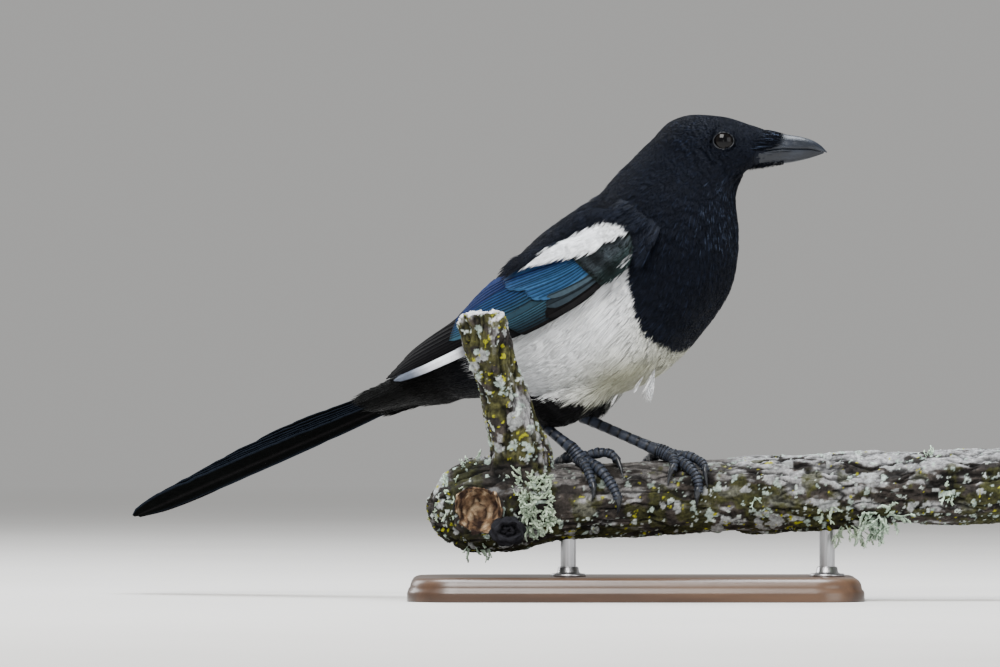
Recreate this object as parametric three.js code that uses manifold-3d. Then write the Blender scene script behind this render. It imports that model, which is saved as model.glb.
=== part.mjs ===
// A life-size Eurasian magpie gripping a cut length of branch on a plain display stand.
// Millimetres, +Z up. The bird looks along +X, with its body turned towards -Y.
// The origin is the middle of the stand's underside.
import * as THREE from "three";
import { mergeVertices } from "three/addons/utils/BufferGeometryUtils.js";
import Module from "manifold-3d";

const wasm = await Module();
wasm.setup();

// Driving dimensions

const GAP = 0.3; // clear space between neighbouring pieces
const BODY_YAW = 32; // degrees that the body and tail are turned towards -Y
const BODY_Y = -9; // where the body's middle plane crosses x = 0
const ROUNDNESS = 2.2; // exponent of the body's cross-sections: 2 is an ellipse
const EGG = 0.06; // how much narrower a section is above than below

const WING_LIFT = 1.3; // wing's inner face above the body, which the facets partly use up
const WING_THICKNESS = 5.6;
const VANE = 0.75; // thickness of one feather vane

const TAIL_LENGTH = 200; // longest feather, beyond the coverts
const TAIL_ROLL = 9;
const TAIL_PITCH = 20.5;
const TAIL_DROP = 2; // how far the tail's root lies below the middle of the rump
const TAIL_LAYER = 0.42; // rise from one tail feather to the next
const TAIL_CAMBER = 0.004; // drop for each square millimetre of half width

const BILL_Y = -28.5; // the head's middle plane, which is square to Y
const BILL_BASE_X = 67.2;
const BILL_LENGTH = 29.9;

const EYE_RADIUS = 6.8;
const EYE_X = 44.4;
const EYE_Z = 233.5;
const EYE_FROM_MIDDLE = 10;
const EYE_SIDES = 12;

const BRANCH_RADIUS = 19;
const BRANCH_START = -105.5;
const BRANCH_END = 192;
const BRANCH_SLOPE = 0.039;
const BRANCH_AXIS_Z = 51.3; // height of the branch's axis at x = 0

const BASE = { length: 232, depth: 124, height: 12, corner: 26, bevel: 1.5 };
const ROD_RADIUS = 4;
const ROD_X = [-34, 98];

// Stations of the bird from tail to bill: the section's middle, the yaw and pitch that it faces,
// and its half depth and half width, first of the body and then of the wings folded over it.
const STATIONS = [
  { x: -135.6, z: 102.2, yaw: 32, pitch: 22, body: [3, 6], wing: [2.8, 9] },
  { x: -121.1, z: 108.4, yaw: 32, pitch: 22, body: [5, 9], wing: [4.8, 14] },
  { x: -99.7, z: 114.6, yaw: 32, pitch: 24, body: [12.5, 13.5], wing: [17, 20] },
  { x: -71.4, z: 125.9, yaw: 32, pitch: 28, body: [25.5, 22], wing: [27, 25] },
  { x: -41.7, z: 136.7, yaw: 32, pitch: 33, body: [41, 31], wing: [41.8, 31.8] },
  { x: -15.8, z: 152, yaw: 32, pitch: 37, body: [47.7, 35], wing: [48.5, 35.8] },
  { x: 2, z: 167.8, yaw: 32, pitch: 42, body: [45.4, 35], wing: [46.2, 35.8] },
  { x: 15.4, z: 184, yaw: 32, pitch: 53, body: [41.6, 32], wing: [42.4, 32.8] },
  { x: 20.6, y: -22.7, z: 201.4, yaw: 30, pitch: 64, body: [35.3, 26.4], wing: [37, 27.4] },
  { x: 24.9, y: -24.7, z: 214.9, yaw: 22, pitch: 67, body: [28, 21.3], wing: [29.5, 22.5] },
  { x: 31.2, y: -27, z: 224.5, yaw: 12, pitch: 67, body: [24.9, 18.5], wing: [25, 19] },
  { x: 36, y: -28, z: 230.1, yaw: 5, pitch: 57, body: [23.4, 18], wing: [24, 19] },
  { x: 43.8, y: BILL_Y, z: 233.1, yaw: 0, pitch: 45, body: [19.5, 16.3], wing: [20, 17] },
  { x: 52, y: BILL_Y, z: 233.1, yaw: 0, pitch: 32, body: [15.1, 13.6], wing: [16, 15] },
  { x: 60.6, y: BILL_Y, z: 231.6, yaw: 0, pitch: 18, body: [11.05, 10], wing: [12, 11] },
  { x: 66.9, y: BILL_Y, z: 230.2, yaw: 0, pitch: 0, body: [8.6, 7.2], wing: [9, 8] },
];
const TAIL_BASE = 2; // station numbers where the bird is divided
const BREAST = 7;
const NECK = 8;
const NAPE = 9.8;
const BILL = 15;
const JOIN = 0.017; // half the gap between neighbouring lofts, in station numbers

// Small mathematics

const rad = THREE.MathUtils.degToRad;
const { lerp, clamp } = THREE.MathUtils;
const V = (x, y, z) => new THREE.Vector3(x, y, z);
const range = (count, from = 0, to = 1) =>
  Array.from({ length: count }, (_, i) => lerp(from, to, count > 1 ? i / (count - 1) : 0));

// Equal steps of a full turn, in degrees.
const turns = (count) => range(count + 1, 0, 360).slice(0, count);

// A smooth curve through the given values, with no overshoot between them.
function curveThrough(knots, values) {
  const step = knots.slice(1).map((k, i) => k - knots[i]);
  const rise = step.map((h, i) => (values[i + 1] - values[i]) / h);
  const slope = values.map((_, i) => {
    if (i === 0) return rise[0];
    if (i === values.length - 1) return rise[i - 1];
    if (rise[i - 1] * rise[i] <= 0) return 0;
    const before = 2 * step[i] + step[i - 1];
    const after = step[i] + 2 * step[i - 1];
    return (before + after) / (before / rise[i - 1] + after / rise[i]);
  });
  return (x) => {
    let i = 0;
    while (i < step.length - 1 && x > knots[i + 1]) i++;
    const h = step[i];
    const t = (x - knots[i]) / h;
    return (
      (1 + 2 * t) * (1 - t) ** 2 * values[i] +
      t * (1 - t) ** 2 * h * slope[i] +
      t * t * (3 - 2 * t) * values[i + 1] +
      t * t * (t - 1) * h * slope[i + 1]
    );
  };
}

// The same for a list of [knot, value] pairs.
const through = (pairs) => curveThrough(pairs.map((p) => p[0]), pairs.map((p) => p[1]));

// Solids

// A closed solid from positions and triangles, turned so that its faces point out.
function solid(points, faces) {
  const geometry = new THREE.BufferGeometry().setFromPoints(points);
  geometry.setIndex(faces.flat());
  return solidOf(geometry);
}

function solidOf(geometry) {
  const bare = geometry.index ? geometry.toNonIndexed() : geometry.clone();
  bare.deleteAttribute("normal");
  bare.deleteAttribute("uv");
  const merged = mergeVertices(bare, 1e-4);
  const vertProperties = merged.attributes.position.array;
  const triVerts = new Uint32Array(merged.index.array);
  const made = new wasm.Manifold(new wasm.Mesh({ numProp: 3, vertProperties, triVerts }));
  if (made.volume() > 0) return made;
  for (let i = 0; i < triVerts.length; i += 3)
    [triVerts[i + 1], triVerts[i + 2]] = [triVerts[i + 2], triVerts[i + 1]];
  return new wasm.Manifold(new wasm.Mesh({ numProp: 3, vertProperties, triVerts }));
}

// A solid through closed rings of equally many points, with a flat fan at each end.
function loft(rings) {
  const n = rings[0].length;
  const points = rings.flat();
  const faces = [];
  for (let i = 0; i < rings.length - 1; i++)
    for (let j = 0; j < n; j++) {
      const k = (j + 1) % n;
      const [a, b, c, d] = [i * n + j, i * n + k, (i + 1) * n + k, (i + 1) * n + j];
      faces.push([a, b, c], [a, c, d]);
    }
  const last = (rings.length - 1) * n;
  for (let j = 1; j < n - 1; j++) {
    faces.push([0, j + 1, j]);
    faces.push([last, last + j, last + j + 1]);
  }
  return solid(points, faces);
}

// A thin solid between two grids of points that are split into triangles alike.
function sheet(top, bottom) {
  const rows = top.length;
  const columns = top[0].length;
  const points = [...top.flat(), ...bottom.flat()];
  const under = rows * columns;
  const at = (i, j) => i * columns + j;
  const faces = [];
  const wall = (a, b) => faces.push([a, under + a, b], [b, under + a, under + b]);
  for (let i = 0; i < rows - 1; i++)
    for (let j = 0; j < columns - 1; j++)
      for (const [a, b, c] of [
        [at(i, j), at(i + 1, j), at(i + 1, j + 1)],
        [at(i, j), at(i + 1, j + 1), at(i, j + 1)],
      ]) {
        faces.push([a, b, c]);
        faces.push([under + a, under + c, under + b]);
      }
  for (let i = 0; i < rows - 1; i++) {
    wall(at(i, 0), at(i + 1, 0));
    wall(at(i + 1, columns - 1), at(i, columns - 1));
  }
  for (let j = 0; j < columns - 1; j++) {
    wall(at(0, j + 1), at(0, j));
    wall(at(rows - 1, j), at(rows - 1, j + 1));
  }
  return solid(points, faces);
}

// A round tube along a list of points, with flat ends. Its radius depends on how far along it is
// and on the angle round it, which is 90 degrees on its upper side.
function tube(path, radius, sides) {
  const rings = path.map((p, i) => {
    const along = path[Math.min(i + 1, path.length - 1)]
      .clone()
      .sub(path[Math.max(i - 1, 0)])
      .normalize();
    const across = V(0, 0, 1).cross(along).normalize();
    const up = along.clone().cross(across);
    return turns(sides).map((a) => {
      const r = radius(i / (path.length - 1), a);
      return p
        .clone()
        .addScaledVector(across, r * Math.cos(rad(a)))
        .addScaledVector(up, r * Math.sin(rad(a)));
    });
  });
  return loft(rings);
}

const largest = (made) => made.decompose().sort((a, b) => b.volume() - a.volume())[0];
const fuse = (pieces) => largest(pieces.reduce((a, b) => a.add(b)));

function meshOf(name, made, material) {
  const { numProp, vertProperties, triVerts } = made.getMesh();
  const geometry = new THREE.BufferGeometry();
  geometry.setAttribute("position", new THREE.BufferAttribute(vertProperties, numProp));
  geometry.setIndex(new THREE.BufferAttribute(triVerts, 1));
  geometry.computeVertexNormals();
  const mesh = new THREE.Mesh(geometry, material);
  mesh.name = name;
  return mesh;
}

const paint = (color, roughness, metalness = 0) =>
  new THREE.MeshStandardMaterial({ color, roughness, metalness });
const BLACK = paint(0x0e0f14, 0.6);
const WHITE = paint(0xe6e6e0, 0.8);
const BLUE = paint(0x1d3a5c, 0.45);
const TAIL_BLACK = paint(0x101513, 0.45);
const HORN = paint(0x24262c, 0.4);
const EYE = paint(0x070606, 0.05);
const BARK = paint(0x5a5348, 0.95);
const LICHEN = paint(0xb4c4a8, 0.95);
const WOOD = paint(0x3a2618, 0.5);
const STEEL = paint(0x8d8f92, 0.35, 1);

// The bird's body chart

const midY = (x) => BODY_Y - x * Math.tan(rad(BODY_YAW));
const knots = STATIONS.map((_, i) => i);
const track = (read) => curveThrough(knots, STATIONS.map(read));
const TRACKS = {
  x: track((s) => s.x),
  y: track((s) => s.y ?? midY(s.x)),
  z: track((s) => s.z),
  yaw: track((s) => s.yaw),
  pitch: track((s) => s.pitch),
  bodyDepth: track((s) => s.body[0]),
  bodyWidth: track((s) => s.body[1]),
  wingDepth: track((s) => s.wing[0]),
  wingWidth: track((s) => s.wing[1]),
};
const centre = (s) => V(TRACKS.x(s), TRACKS.y(s), TRACKS.z(s));

// A point of the section at station s. The angle is 0 at the flank and 90 degrees on the back;
// side is -1 for the bird's right, shell is "body" or "wing", and lift stands out from it.
function onSection(s, angle, side = 1, shell = "body", lift = 0) {
  const yaw = rad(TRACKS.yaw(s));
  const pitch = rad(TRACKS.pitch(s));
  const left = V(Math.sin(yaw), Math.cos(yaw), 0);
  const up = V(-Math.cos(yaw) * Math.sin(pitch), Math.sin(yaw) * Math.sin(pitch), Math.cos(pitch));
  const c = Math.cos(rad(angle));
  const n = Math.sin(rad(angle));
  const out = Math.sign(c) * Math.abs(c) ** (2 / ROUNDNESS) * (1 - EGG * n);
  const high = Math.sign(n) * Math.abs(n) ** (2 / ROUNDNESS);
  const width = TRACKS[shell + "Width"](s) + lift;
  const depth = TRACKS[shell + "Depth"](s) + lift;
  return centre(s)
    .addScaledVector(left, side * width * out)
    .addScaledVector(up, depth * high);
}

function bodyLoft(from, to, rings, sides, swell = 0) {
  return loft(
    range(rings, from, to).map((s) =>
      turns(sides).map((a) => onSection(s, a, 1, "body", swell)),
    ),
  );
}

// Distance in millimetres back from the breast station, as a station number.
const STATION_STEPS = 700;
const stationTable = range(STATION_STEPS + 1, BREAST + 0.6, 0);
const backTable = [0];
for (let i = 1; i <= STATION_STEPS; i++)
  backTable.push(
    backTable[i - 1] + centre(stationTable[i]).distanceTo(centre(stationTable[i - 1])),
  );
const breastBack = backTable[stationTable.findIndex((s) => s <= BREAST)];
function stationAt(back) {
  let i = backTable.findIndex((b) => b - breastBack >= back);
  if (i < 1) i = back < 0 ? 1 : STATION_STEPS;
  const t = (back + breastBack - backTable[i - 1]) / (backTable[i] - backTable[i - 1]);
  return Math.max(0, lerp(stationTable[i - 1], stationTable[i], t));
}

// A point over the folded wing: back in millimetres, angle in degrees, lift above the shell.
// Between evenly spaced rows it is straight, so that all pieces on the wing share their facets.
const WING_ROW = 20;
function onWing(side, back, angle, lift) {
  const row = Math.floor(back / WING_ROW);
  const [fore, aft] = [row, row + 1].map((r) =>
    onSection(stationAt(r * WING_ROW), angle, side, "wing", lift),
  );
  return fore.lerp(aft, back / WING_ROW - row);
}

// The places along a feather where the wing's rows cross it, as shares of its length.
function rowsAcross(from, to) {
  const shares = [0, 1];
  for (let r = Math.ceil(from / WING_ROW); r * WING_ROW < to; r++)
    shares.push((r * WING_ROW - from) / (to - from));
  return shares.sort((a, b) => a - b).filter((t, i, all) => i === 0 || t - all[i - 1] > 0.06);
}

// Feathers

// Half width of a vane along its length, as a share of the widest: narrow root, full blade, round tip.
const BLADE = through([[0, 0.35], [0.25, 0.8], [0.6, 1], [0.85, 0.86], [0.95, 0.52], [1, 0.16]]);

// The seam where the wing's upper edge meets the white scapulars, as an angle by distance back.
const SEAM = through([
  [-9, 4], [-4, 7], [5, 12.5], [17, 14.5], [30, 18], [37, 21.5], [62, 31], [72, 39], [84, 75], [90, 87],
]);
const SEAM_GAP = 1.35; // degrees on either side of it

// A feather vane on the wing. root and tip are [back, angle] places of its shaft, webs are the
// widths of its lower and upper web, and lifts are its heights at root and tip. Its underside
// sinks into the wing's core as far as that reaches.
function wingVane(side, { root, tip, webs, lifts, sunk = 1, patch = false }) {
  const rows = rowsAcross(root[0], tip[0]).map((t) => {
    const back = lerp(root[0], tip[0], t);
    const angle = lerp(root[1], tip[1], t);
    const here = onWing(side, back, angle, 0);
    const perDegree = onWing(side, back, angle + 1, 0).distanceTo(here);
    const lift = WING_LIFT + lerp(lifts[0], lifts[1], t) * envelope(back, angle);
    const bounds = patch ? [SEAM(back) + SEAM_GAP, 87] : [-14, SEAM(back) - SEAM_GAP];
    const low = clamp(angle - (webs[0] * BLADE(t)) / perDegree, ...bounds);
    const high = clamp(angle + (webs[1] * BLADE(t)) / perDegree, ...bounds);
    const inCore = clamp((CORE_END - back) / 6, 0, 1) * sunk;
    const under = lerp(lift, WING_LIFT + 0.15 * envelope(back, angle), inCore);
    return [under, lift + VANE].map((h) => [low, high].map((a) => onWing(side, back, a, h)));
  });
  return sheet(rows.map((r) => r[1]), rows.map((r) => r[0]));
}

// Height of the wing's outer face above its inner one, from the bend back to the tips, and less
// where the innermost feathers lie flat on the back.
const ALONG = through([[-5, 0.25], [4, 0.62], [20, 0.9], [45, 1], [90, 0.85], [130, 0.6], [178, 0.3]]);
const ROUND = through([[30, 1], [50, 0.7], [75, 0.3]]);
const envelope = (back, angle) => WING_THICKNESS * ALONG(back) * ROUND(clamp(angle, 30, 75));

// Lower and upper edge of the wing's core, as angles, by distance back.
const CORE_END = 124;
const CORE_LOW = through([[-5, -3], [0, -7], [11, -8], [30, -6.5], [56, -4], [86, -2], [124, 6]]);
const CORE_TOP = through([
  [-5, 1], [-1, 5], [5, 8.5], [17, 9.5], [30, 13], [37, 16.5], [62, 26.5], [74, 33],
  [84, 44], [96, 62], [110, 66], [124, 50],
]);
const CORE_HEIGHT = through([[-5, 0.1], [0, 0.45], [20, 0.62], [60, 0.55], [95, 0.4], [124, 0.12]]);

function wingCore(side) {
  const rows = range(13, -5, CORE_END).map((back) => {
    const columns = range(4).map((v) => lerp(CORE_LOW(back), CORE_TOP(back), v));
    const crown = (v) => 0.35 + 0.65 * Math.sin(Math.PI * clamp(v, 0, 1)) ** 0.5;
    const tall = (a) => envelope(back, a) * CORE_HEIGHT(back);
    return [
      columns.map((a, j) => onWing(side, back, a, WING_LIFT + tall(a) * crown(j / 3))),
      columns.map((a) => onWing(side, back, a, WING_LIFT)),
    ];
  });
  return sheet(rows.map((r) => r[0]), rows.map((r) => r[1]));
}

// Flight feathers from the outermost primary up to the innermost tertial: places of root and tip.
const PRIMARY_TIPS = [[152, 6], [168, 12], [177, 23], [174, 37], [164, 50]];
const PRIMARIES = PRIMARY_TIPS.map((tip, i) => ({
  root: [34 + 5 * i, -1 + 2.3 * i],
  tip,
  webs: [3.6, 7.4],
}));
const SECONDARIES = range(3).map((t) => ({
  root: [lerp(44, 50, t), lerp(8, 22, t)],
  tip: [lerp(130, 119, t), lerp(30, 52, t)],
  webs: [4.4, 8.4],
}));
const TERTIALS = range(3).map((t) => ({
  root: [lerp(58, 80, t), lerp(25, 42, t)],
  tip: [lerp(121, 108, t), lerp(58, 79, t)],
  webs: [4.6, 5.2],
}));
const FLIGHT = [...PRIMARIES, ...SECONDARIES, ...TERTIALS].map((feather, i, all) => {
  const level = lerp(0.04, 0.88, i / (all.length - 1));
  return { ...feather, lifts: [level, level] };
});

// Rows of coverts, each laid over the roots of the row behind it.
const row = (count, make) => range(count).map(make);
const COVERTS = [
  ...row(2, (t) => ({
    root: [26, lerp(-4, 1, t)],
    tip: [lerp(82, 90, t), lerp(-0.5, 7, t)],
    webs: [4, 5],
    lifts: [lerp(0.3, 0.45, t), lerp(0.4, 0.62, t)],
  })),
  ...row(2, (t) => ({
    root: [14, lerp(-5, -3, t)],
    tip: [lerp(62, 55, t), lerp(-1.5, 5, t)],
    webs: [3, 3.6],
    lifts: [0.5, lerp(0.62, 0.72, t)],
  })),
  ...row(5, (t) => ({
    root: [lerp(24, 34, t), lerp(3, 14, t)],
    tip: [lerp(64, 76, t), lerp(10, 29, t)],
    webs: [4.4, 5],
    lifts: [lerp(0.6, 0.66, t), lerp(0.74, 0.96, t)],
  })),
  ...row(3, (t) => ({
    root: [lerp(8, 14, t), lerp(-4, 8, t)],
    tip: [lerp(27, 40, t), lerp(0, 18, t)],
    webs: [6, 6.4],
    lifts: [0.7, lerp(0.9, 1.08, t)],
  })),
  ...row(3, (t) => ({
    root: [lerp(-3, 3, t), lerp(-5, 5, t)],
    tip: [lerp(15, 24, t), lerp(-4, 10, t)],
    webs: [5, 5],
    lifts: [0.72, 1.12],
  })),
];

const wing = (side) =>
  fuse([wingCore(side), ...[...FLIGHT, ...COVERTS].map((f) => wingVane(side, f))]);

// The white shoulder patch of overlapping scapulars, which lies along the wing's upper edge.
const PATCH_LOW = (back) => SEAM(back) + SEAM_GAP;
const PATCH_TOP = through([[-6, 18], [0, 30], [10, 39], [20, 42], [40, 42], [60, 41], [72, 42]]);
const PATCH_TALL = through([[-6, 0.6], [4, 2.2], [20, 3.6], [45, 3.4], [72, 1]]);

function scapulars(side) {
  const grid = (lift) =>
    range(7, -6, 72).map((back) =>
      range(3).map((v) => {
        const tall = PATCH_TALL(back) * (0.45 + 0.55 * Math.sin(Math.PI * v));
        const angle = lerp(PATCH_LOW(back), PATCH_TOP(back), v);
        return onWing(side, back, angle, WING_LIFT + tall * lift);
      }),
    );
  const core = sheet(grid(1), grid(0));
  const vanes = [];
  for (const [start, end, count] of [[-4, 20, 3], [8, 36, 3], [22, 52, 2], [38, 68, 2]])
    for (const t of range(count, 0.18, 0.82)) {
      const at = (back, share) => lerp(PATCH_LOW(back), PATCH_TOP(back), share);
      vanes.push({
        root: [start, at(start, t)],
        tip: [end, at(end, t)],
        webs: start > 20 ? [2.4, 2.4] : [3.6, 3.6],
        lifts: [0, 0.02 + PATCH_TALL(end) / envelope(end, 30)],
        sunk: 0.8,
        patch: true,
      });
    }
  return fuse([core, ...vanes.map((v) => wingVane(side, v))]);
}

// Tail

const tailYaw = rad(BODY_YAW);
const tailPitch = rad(TAIL_PITCH);
const tailRoot = centre(TAIL_BASE - 0.02).add(V(0, 0, -TAIL_DROP));
const tailBack = V(
  -Math.cos(tailYaw) * Math.cos(tailPitch),
  Math.sin(tailYaw) * Math.cos(tailPitch),
  -Math.sin(tailPitch),
);
const tailLevel = V(Math.sin(tailYaw), Math.cos(tailYaw), 0);
const tailUp = tailLevel.clone().cross(tailBack).negate().normalize();
const tailLeft = tailLevel.clone().applyAxisAngle(tailBack, rad(TAIL_ROLL));
const tailTop = tailUp.clone().applyAxisAngle(tailBack, rad(TAIL_ROLL));

// A point on the tail: back from its root, to the left, and up through its layers.
const onTail = (back, left, up) =>
  tailRoot
    .clone()
    .addScaledVector(tailBack, back)
    .addScaledVector(tailLeft, left)
    .addScaledVector(tailTop, up - TAIL_CAMBER * left * left);

// Exposed length, offset of the shaft from the middle and half width, from the middle pair out.
const RECTRICES = [
  { length: 1, offset: 2.5, web: [13.5, 14.5] },
  { length: 0.93, offset: 4.8, web: [11.5, 13.5] },
  { length: 0.85, offset: 7, web: [9.6, 12] },
  { length: 0.765, offset: 9.2, web: [8, 11.5] },
  { length: 0.675, offset: 11.4, web: [6.5, 11] },
  { length: 0.55, offset: 13.4, web: [5.2, 10] },
];
const TAIL_BLADE = through([[0, 0.3], [0.22, 0.76], [0.5, 0.96], [0.84, 1], [0.95, 0.74], [1, 0.16]]);

function rectrix(pair, side) {
  const { length, offset, web } = RECTRICES[pair];
  const level = TAIL_LAYER * (5.5 - 2 * pair - (side > 0 ? 0.5 : -0.5));
  const rows = [0, 0.3, 0.62, 0.86, 1].map((t) => {
    const back = lerp(2, TAIL_LENGTH * length, t);
    const shaft = side * offset * Math.min(1, 0.35 + t);
    const outer = shaft + side * web[0] * TAIL_BLADE(t);
    const inner = shaft - side * web[1] * TAIL_BLADE(t);
    const ridge = 0.35 * (1 - t);
    return [0, 1].map((top) =>
      [outer, shaft, inner].map((v, j) =>
        onTail(back, v, level + top * VANE + (j === 1 ? top * ridge : 0)),
      ),
    );
  });
  return sheet(rows.map((r) => r[1]), rows.map((r) => r[0]));
}

// The tail's root, wrapped in coverts, tapers from the rump's last section.
function tailPlug() {
  const reach = 46;
  const rings = range(5).map((t) => {
    const back = reach * t;
    const wide = lerp(13.2, 15.5, t);
    const tall = lerp(12.2, 2.2, t ** 0.75);
    const drop = lerp(0, -0.8, t);
    return turns(14).map((a) =>
      onTail(back, wide * Math.cos(rad(a)), drop + tall * Math.sin(rad(a))),
    );
  });
  return loft(rings);
}

function tailCoverts() {
  const made = [];
  for (const face of [-1, 1])
    for (const [index, t] of range(3, -1, 1).entries()) {
      const long = face < 0 ? 58 - 14 * t * t : 46 - 12 * t * t;
      const lift = index % 2 ? 0.5 : 0;
      const rows = range(3).map((u) => {
        const back = lerp(6, long, u);
        const shaft = 10 * t * lerp(0.7, 1.05, u);
        const half = 7.5 * BLADE(u);
        const full = face < 0 ? 2.2 * Math.sin(Math.PI * u) : 0;
        const height = lerp(8.2, 3.4, u) + full - 0.055 * shaft * shaft * (1 - u) + lift;
        return [0, 1].map((top) =>
          [shaft - half, shaft + half].map((v) =>
            onTail(back, v, face * (height - (1 - top) * 2.5 * VANE)),
          ),
        );
      });
      made.push(sheet(rows.map((r) => r[1]), rows.map((r) => r[0])));
    }
  return made;
}

function tail() {
  const feathers = [];
  for (const pair of RECTRICES.keys())
    for (const side of [-1, 1]) feathers.push(rectrix(pair, side));
  return fuse([tailPlug(), ...feathers, ...tailCoverts()]);
}

// Head, eyes and bill

const eyePlace = (side) => V(EYE_X, BILL_Y + side * EYE_FROM_MIDDLE, EYE_Z);
const ball = (place, radius, detail) =>
  solidOf(new THREE.SphereGeometry(radius, detail, detail / 2).rotateX(Math.PI / 2)
    .translate(place.x, place.y, place.z));

// The oval opening between the lids, which is wider than it is high, as a plug to cut with.
const LID_THICK = 0.9;
const OPENING = { wide: 5.2, high: 4.3, from: 12, to: 21 };

function opening(side) {
  const rim = (out) =>
    turns(EYE_SIDES).map((a) =>
      V(
        EYE_X + OPENING.wide * Math.cos(rad(a)),
        BILL_Y + side * out,
        EYE_Z + OPENING.high * Math.sin(rad(a)),
      ),
    );
  return loft([rim(OPENING.from), rim(OPENING.to)]);
}

// Bill profiles by distance from the base: ridge, cutting edge, lower edge and half width.
const RIDGE = through([[0, 238.6], [9.5, 236.9], [16, 235.9], [22, 234.2], [26.8, 231.4], [29.9, 228.2]]);
const CUT = through([[0, 228.5], [9.5, 229.5], [19, 229.6], [26, 228.5], [29.9, 227.6]]);
const CHIN = through([[0, 221.5], [9, 222.2], [18.5, 224.1], [24, 225.7], [28.4, 227.3]]);
const BILL_HALF = through([[0, 7], [6, 6], [14, 4.7], [21, 3.3], [27, 1.6], [29.9, 0.5]]);

function billHalf(face) {
  const length = face > 0 ? BILL_LENGTH : BILL_LENGTH - 1.6;
  const rings = range(9).map((u) => {
    const t = u ** 0.85 * length;
    const edge = CUT(t) + face * GAP * 0.62;
    const far = face > 0 ? RIDGE(t) : CHIN(t);
    const half = BILL_HALF(t) * (face > 0 ? 1 : 0.9) * (1 - 0.25 * u * (face < 0));
    return range(8, 0, Math.PI).map((a) => {
      const out = Math.sign(Math.cos(a)) * Math.abs(Math.cos(a)) ** 1.15;
      const height = (far - edge) * Math.sin(a) ** 0.85;
      return V(BILL_BASE_X + GAP + t, BILL_Y + half * out, edge + height);
    });
  });
  return loft(rings);
}

// Bristles that lie forward over the bill's base and hide the nostrils.
function bristles(side) {
  const made = [];
  for (const [index, angle] of range(4, 14, 76).entries()) {
    const reach = lerp(14, 17, index / 3) - (index % 2) * 2.5;
    const rows = range(3).map((u) => {
      const t = lerp(-5, reach, u);
      const base = clamp(t, 0, BILL_LENGTH);
      const a = rad(lerp(angle, angle * 0.9, u));
      const swell = 1 + 0.95 / BILL_HALF(base);
      const spread = (15 * BLADE(u)) / (BILL_HALF(base) + 6);
      return [0, 0.7].map((h) =>
        [-1, 1].map((v) => {
          const b = a + rad(spread * v * 9);
          const out = Math.abs(Math.cos(b)) ** 1.15 * BILL_HALF(base) * swell;
          const high = Math.sin(b) ** 0.85 * (RIDGE(base) - CUT(base) + 0.95);
          return V(
            BILL_BASE_X + t,
            BILL_Y + side * (out + h * Math.cos(b)),
            CUT(base) + high + h * Math.sin(b),
          );
        }),
      );
    });
    made.push(sheet(rows.map((r) => r[1]), rows.map((r) => r[0])));
  }
  return made;
}

// The corner of the mouth, a low ridge that carries the bill's cutting edges back on the cheek.
function gape(side, above) {
  const path = range(4).map((u) => {
    const t = lerp(-13, -0.5, u);
    const z = CUT(0) + above * 0.95 + 0.25 * t * (1 - 0.02 * t) * 0.35;
    const width = lerp(11.9, 6.9, u ** 1.3);
    return V(BILL_BASE_X + t, BILL_Y + side * width, z);
  });
  return tube(path, (u) => lerp(0.5, 0.85, u), 4);
}

function head() {
  const skull = bodyLoft(NAPE + JOIN, BILL, 12, 20);
  const additions = [-1, 1].flatMap((side) => [
    ball(eyePlace(side), EYE_RADIUS + LID_THICK, EYE_SIDES),
    ...bristles(side),
    gape(side, 1),
    gape(side, -1),
  ]);
  let made = fuse([skull, ...additions]);
  for (const side of [-1, 1]) {
    made = made.subtract(ball(eyePlace(side), EYE_RADIUS + GAP * 1.15, EYE_SIDES));
    made = made.subtract(opening(side));
  }
  return largest(made);
}

// Branch

const branchAxis = (x) => BRANCH_AXIS_Z + BRANCH_SLOPE * x;
const BRANCH_SWELL = through([
  [-105.5, 0.2], [-101, 0.62], [-93, 1], [-80, 1.27], [-66, 1.3], [-54, 1.18], [-44, 1.05],
  [-30, 1], [50, 0.985], [92, 1.05], [140, 0.96], [192, 1],
]);
// Bark ridges die out where the feet grip.
const RIDGES = through([[-105.5, 1], [-58, 1], [-44, 0.3], [46, 0.3], [62, 1], [192, 1]]);

// Radius of the branch at x, at an angle from the top towards -Y in degrees.
function branchRadius(x, angle) {
  const a = rad(angle);
  const ridges =
    0.75 * Math.sin(5 * a + x / 17) + 0.5 * Math.sin(9 * a - x / 23) + 0.45 * Math.sin(x / 8 + 2 * a);
  return BRANCH_RADIUS * BRANCH_SWELL(x) + RIDGES(x) * ridges;
}

function onBranch(x, angle, lift) {
  const r = branchRadius(x, angle) + lift;
  return V(x, -r * Math.sin(rad(angle)), branchAxis(x) + r * Math.cos(rad(angle)));
}

function branchLoft(swell = 0) {
  const xs = [...range(8, BRANCH_START, -50), ...range(7, -40, 46), ...range(9, 58, BRANCH_END)];
  return loft(xs.map((x) => turns(16).map((a) => onBranch(x, a, swell))));
}

// The broken upright stub: middle, radius and height of its rings, leaning towards -Y.
const STUB = [
  { x: -60, y: -5, z: 58, r: 19 },
  { x: -58.5, y: -9, z: 74, r: 15.8 },
  { x: -64, y: -16, z: 93.5, r: 13.4 },
  { x: -69, y: -21.5, z: 111, r: 12.3 },
  { x: -75.5, y: -26.5, z: 131, r: 12.3 },
  { x: -78.6, y: -29, z: 144, r: 11.6 },
];

function stub(swell = 0) {
  const rings = STUB.map(({ x, y, z, r }, i) =>
    turns(14).map((a) => {
      const bark = i ? 0.8 * Math.sin(rad(5 * a + 40 * i)) + 0.4 * Math.sin(rad(8 * a)) : 0;
      const torn = i === STUB.length - 1 ? 2.2 * Math.sin(rad(3 * a + 60)) : 0;
      const out = r + bark + swell;
      return V(x + out * Math.cos(rad(a)), y + out * 0.94 * Math.sin(rad(a)), z + torn);
    }),
  );
  return loft(rings);
}

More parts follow.
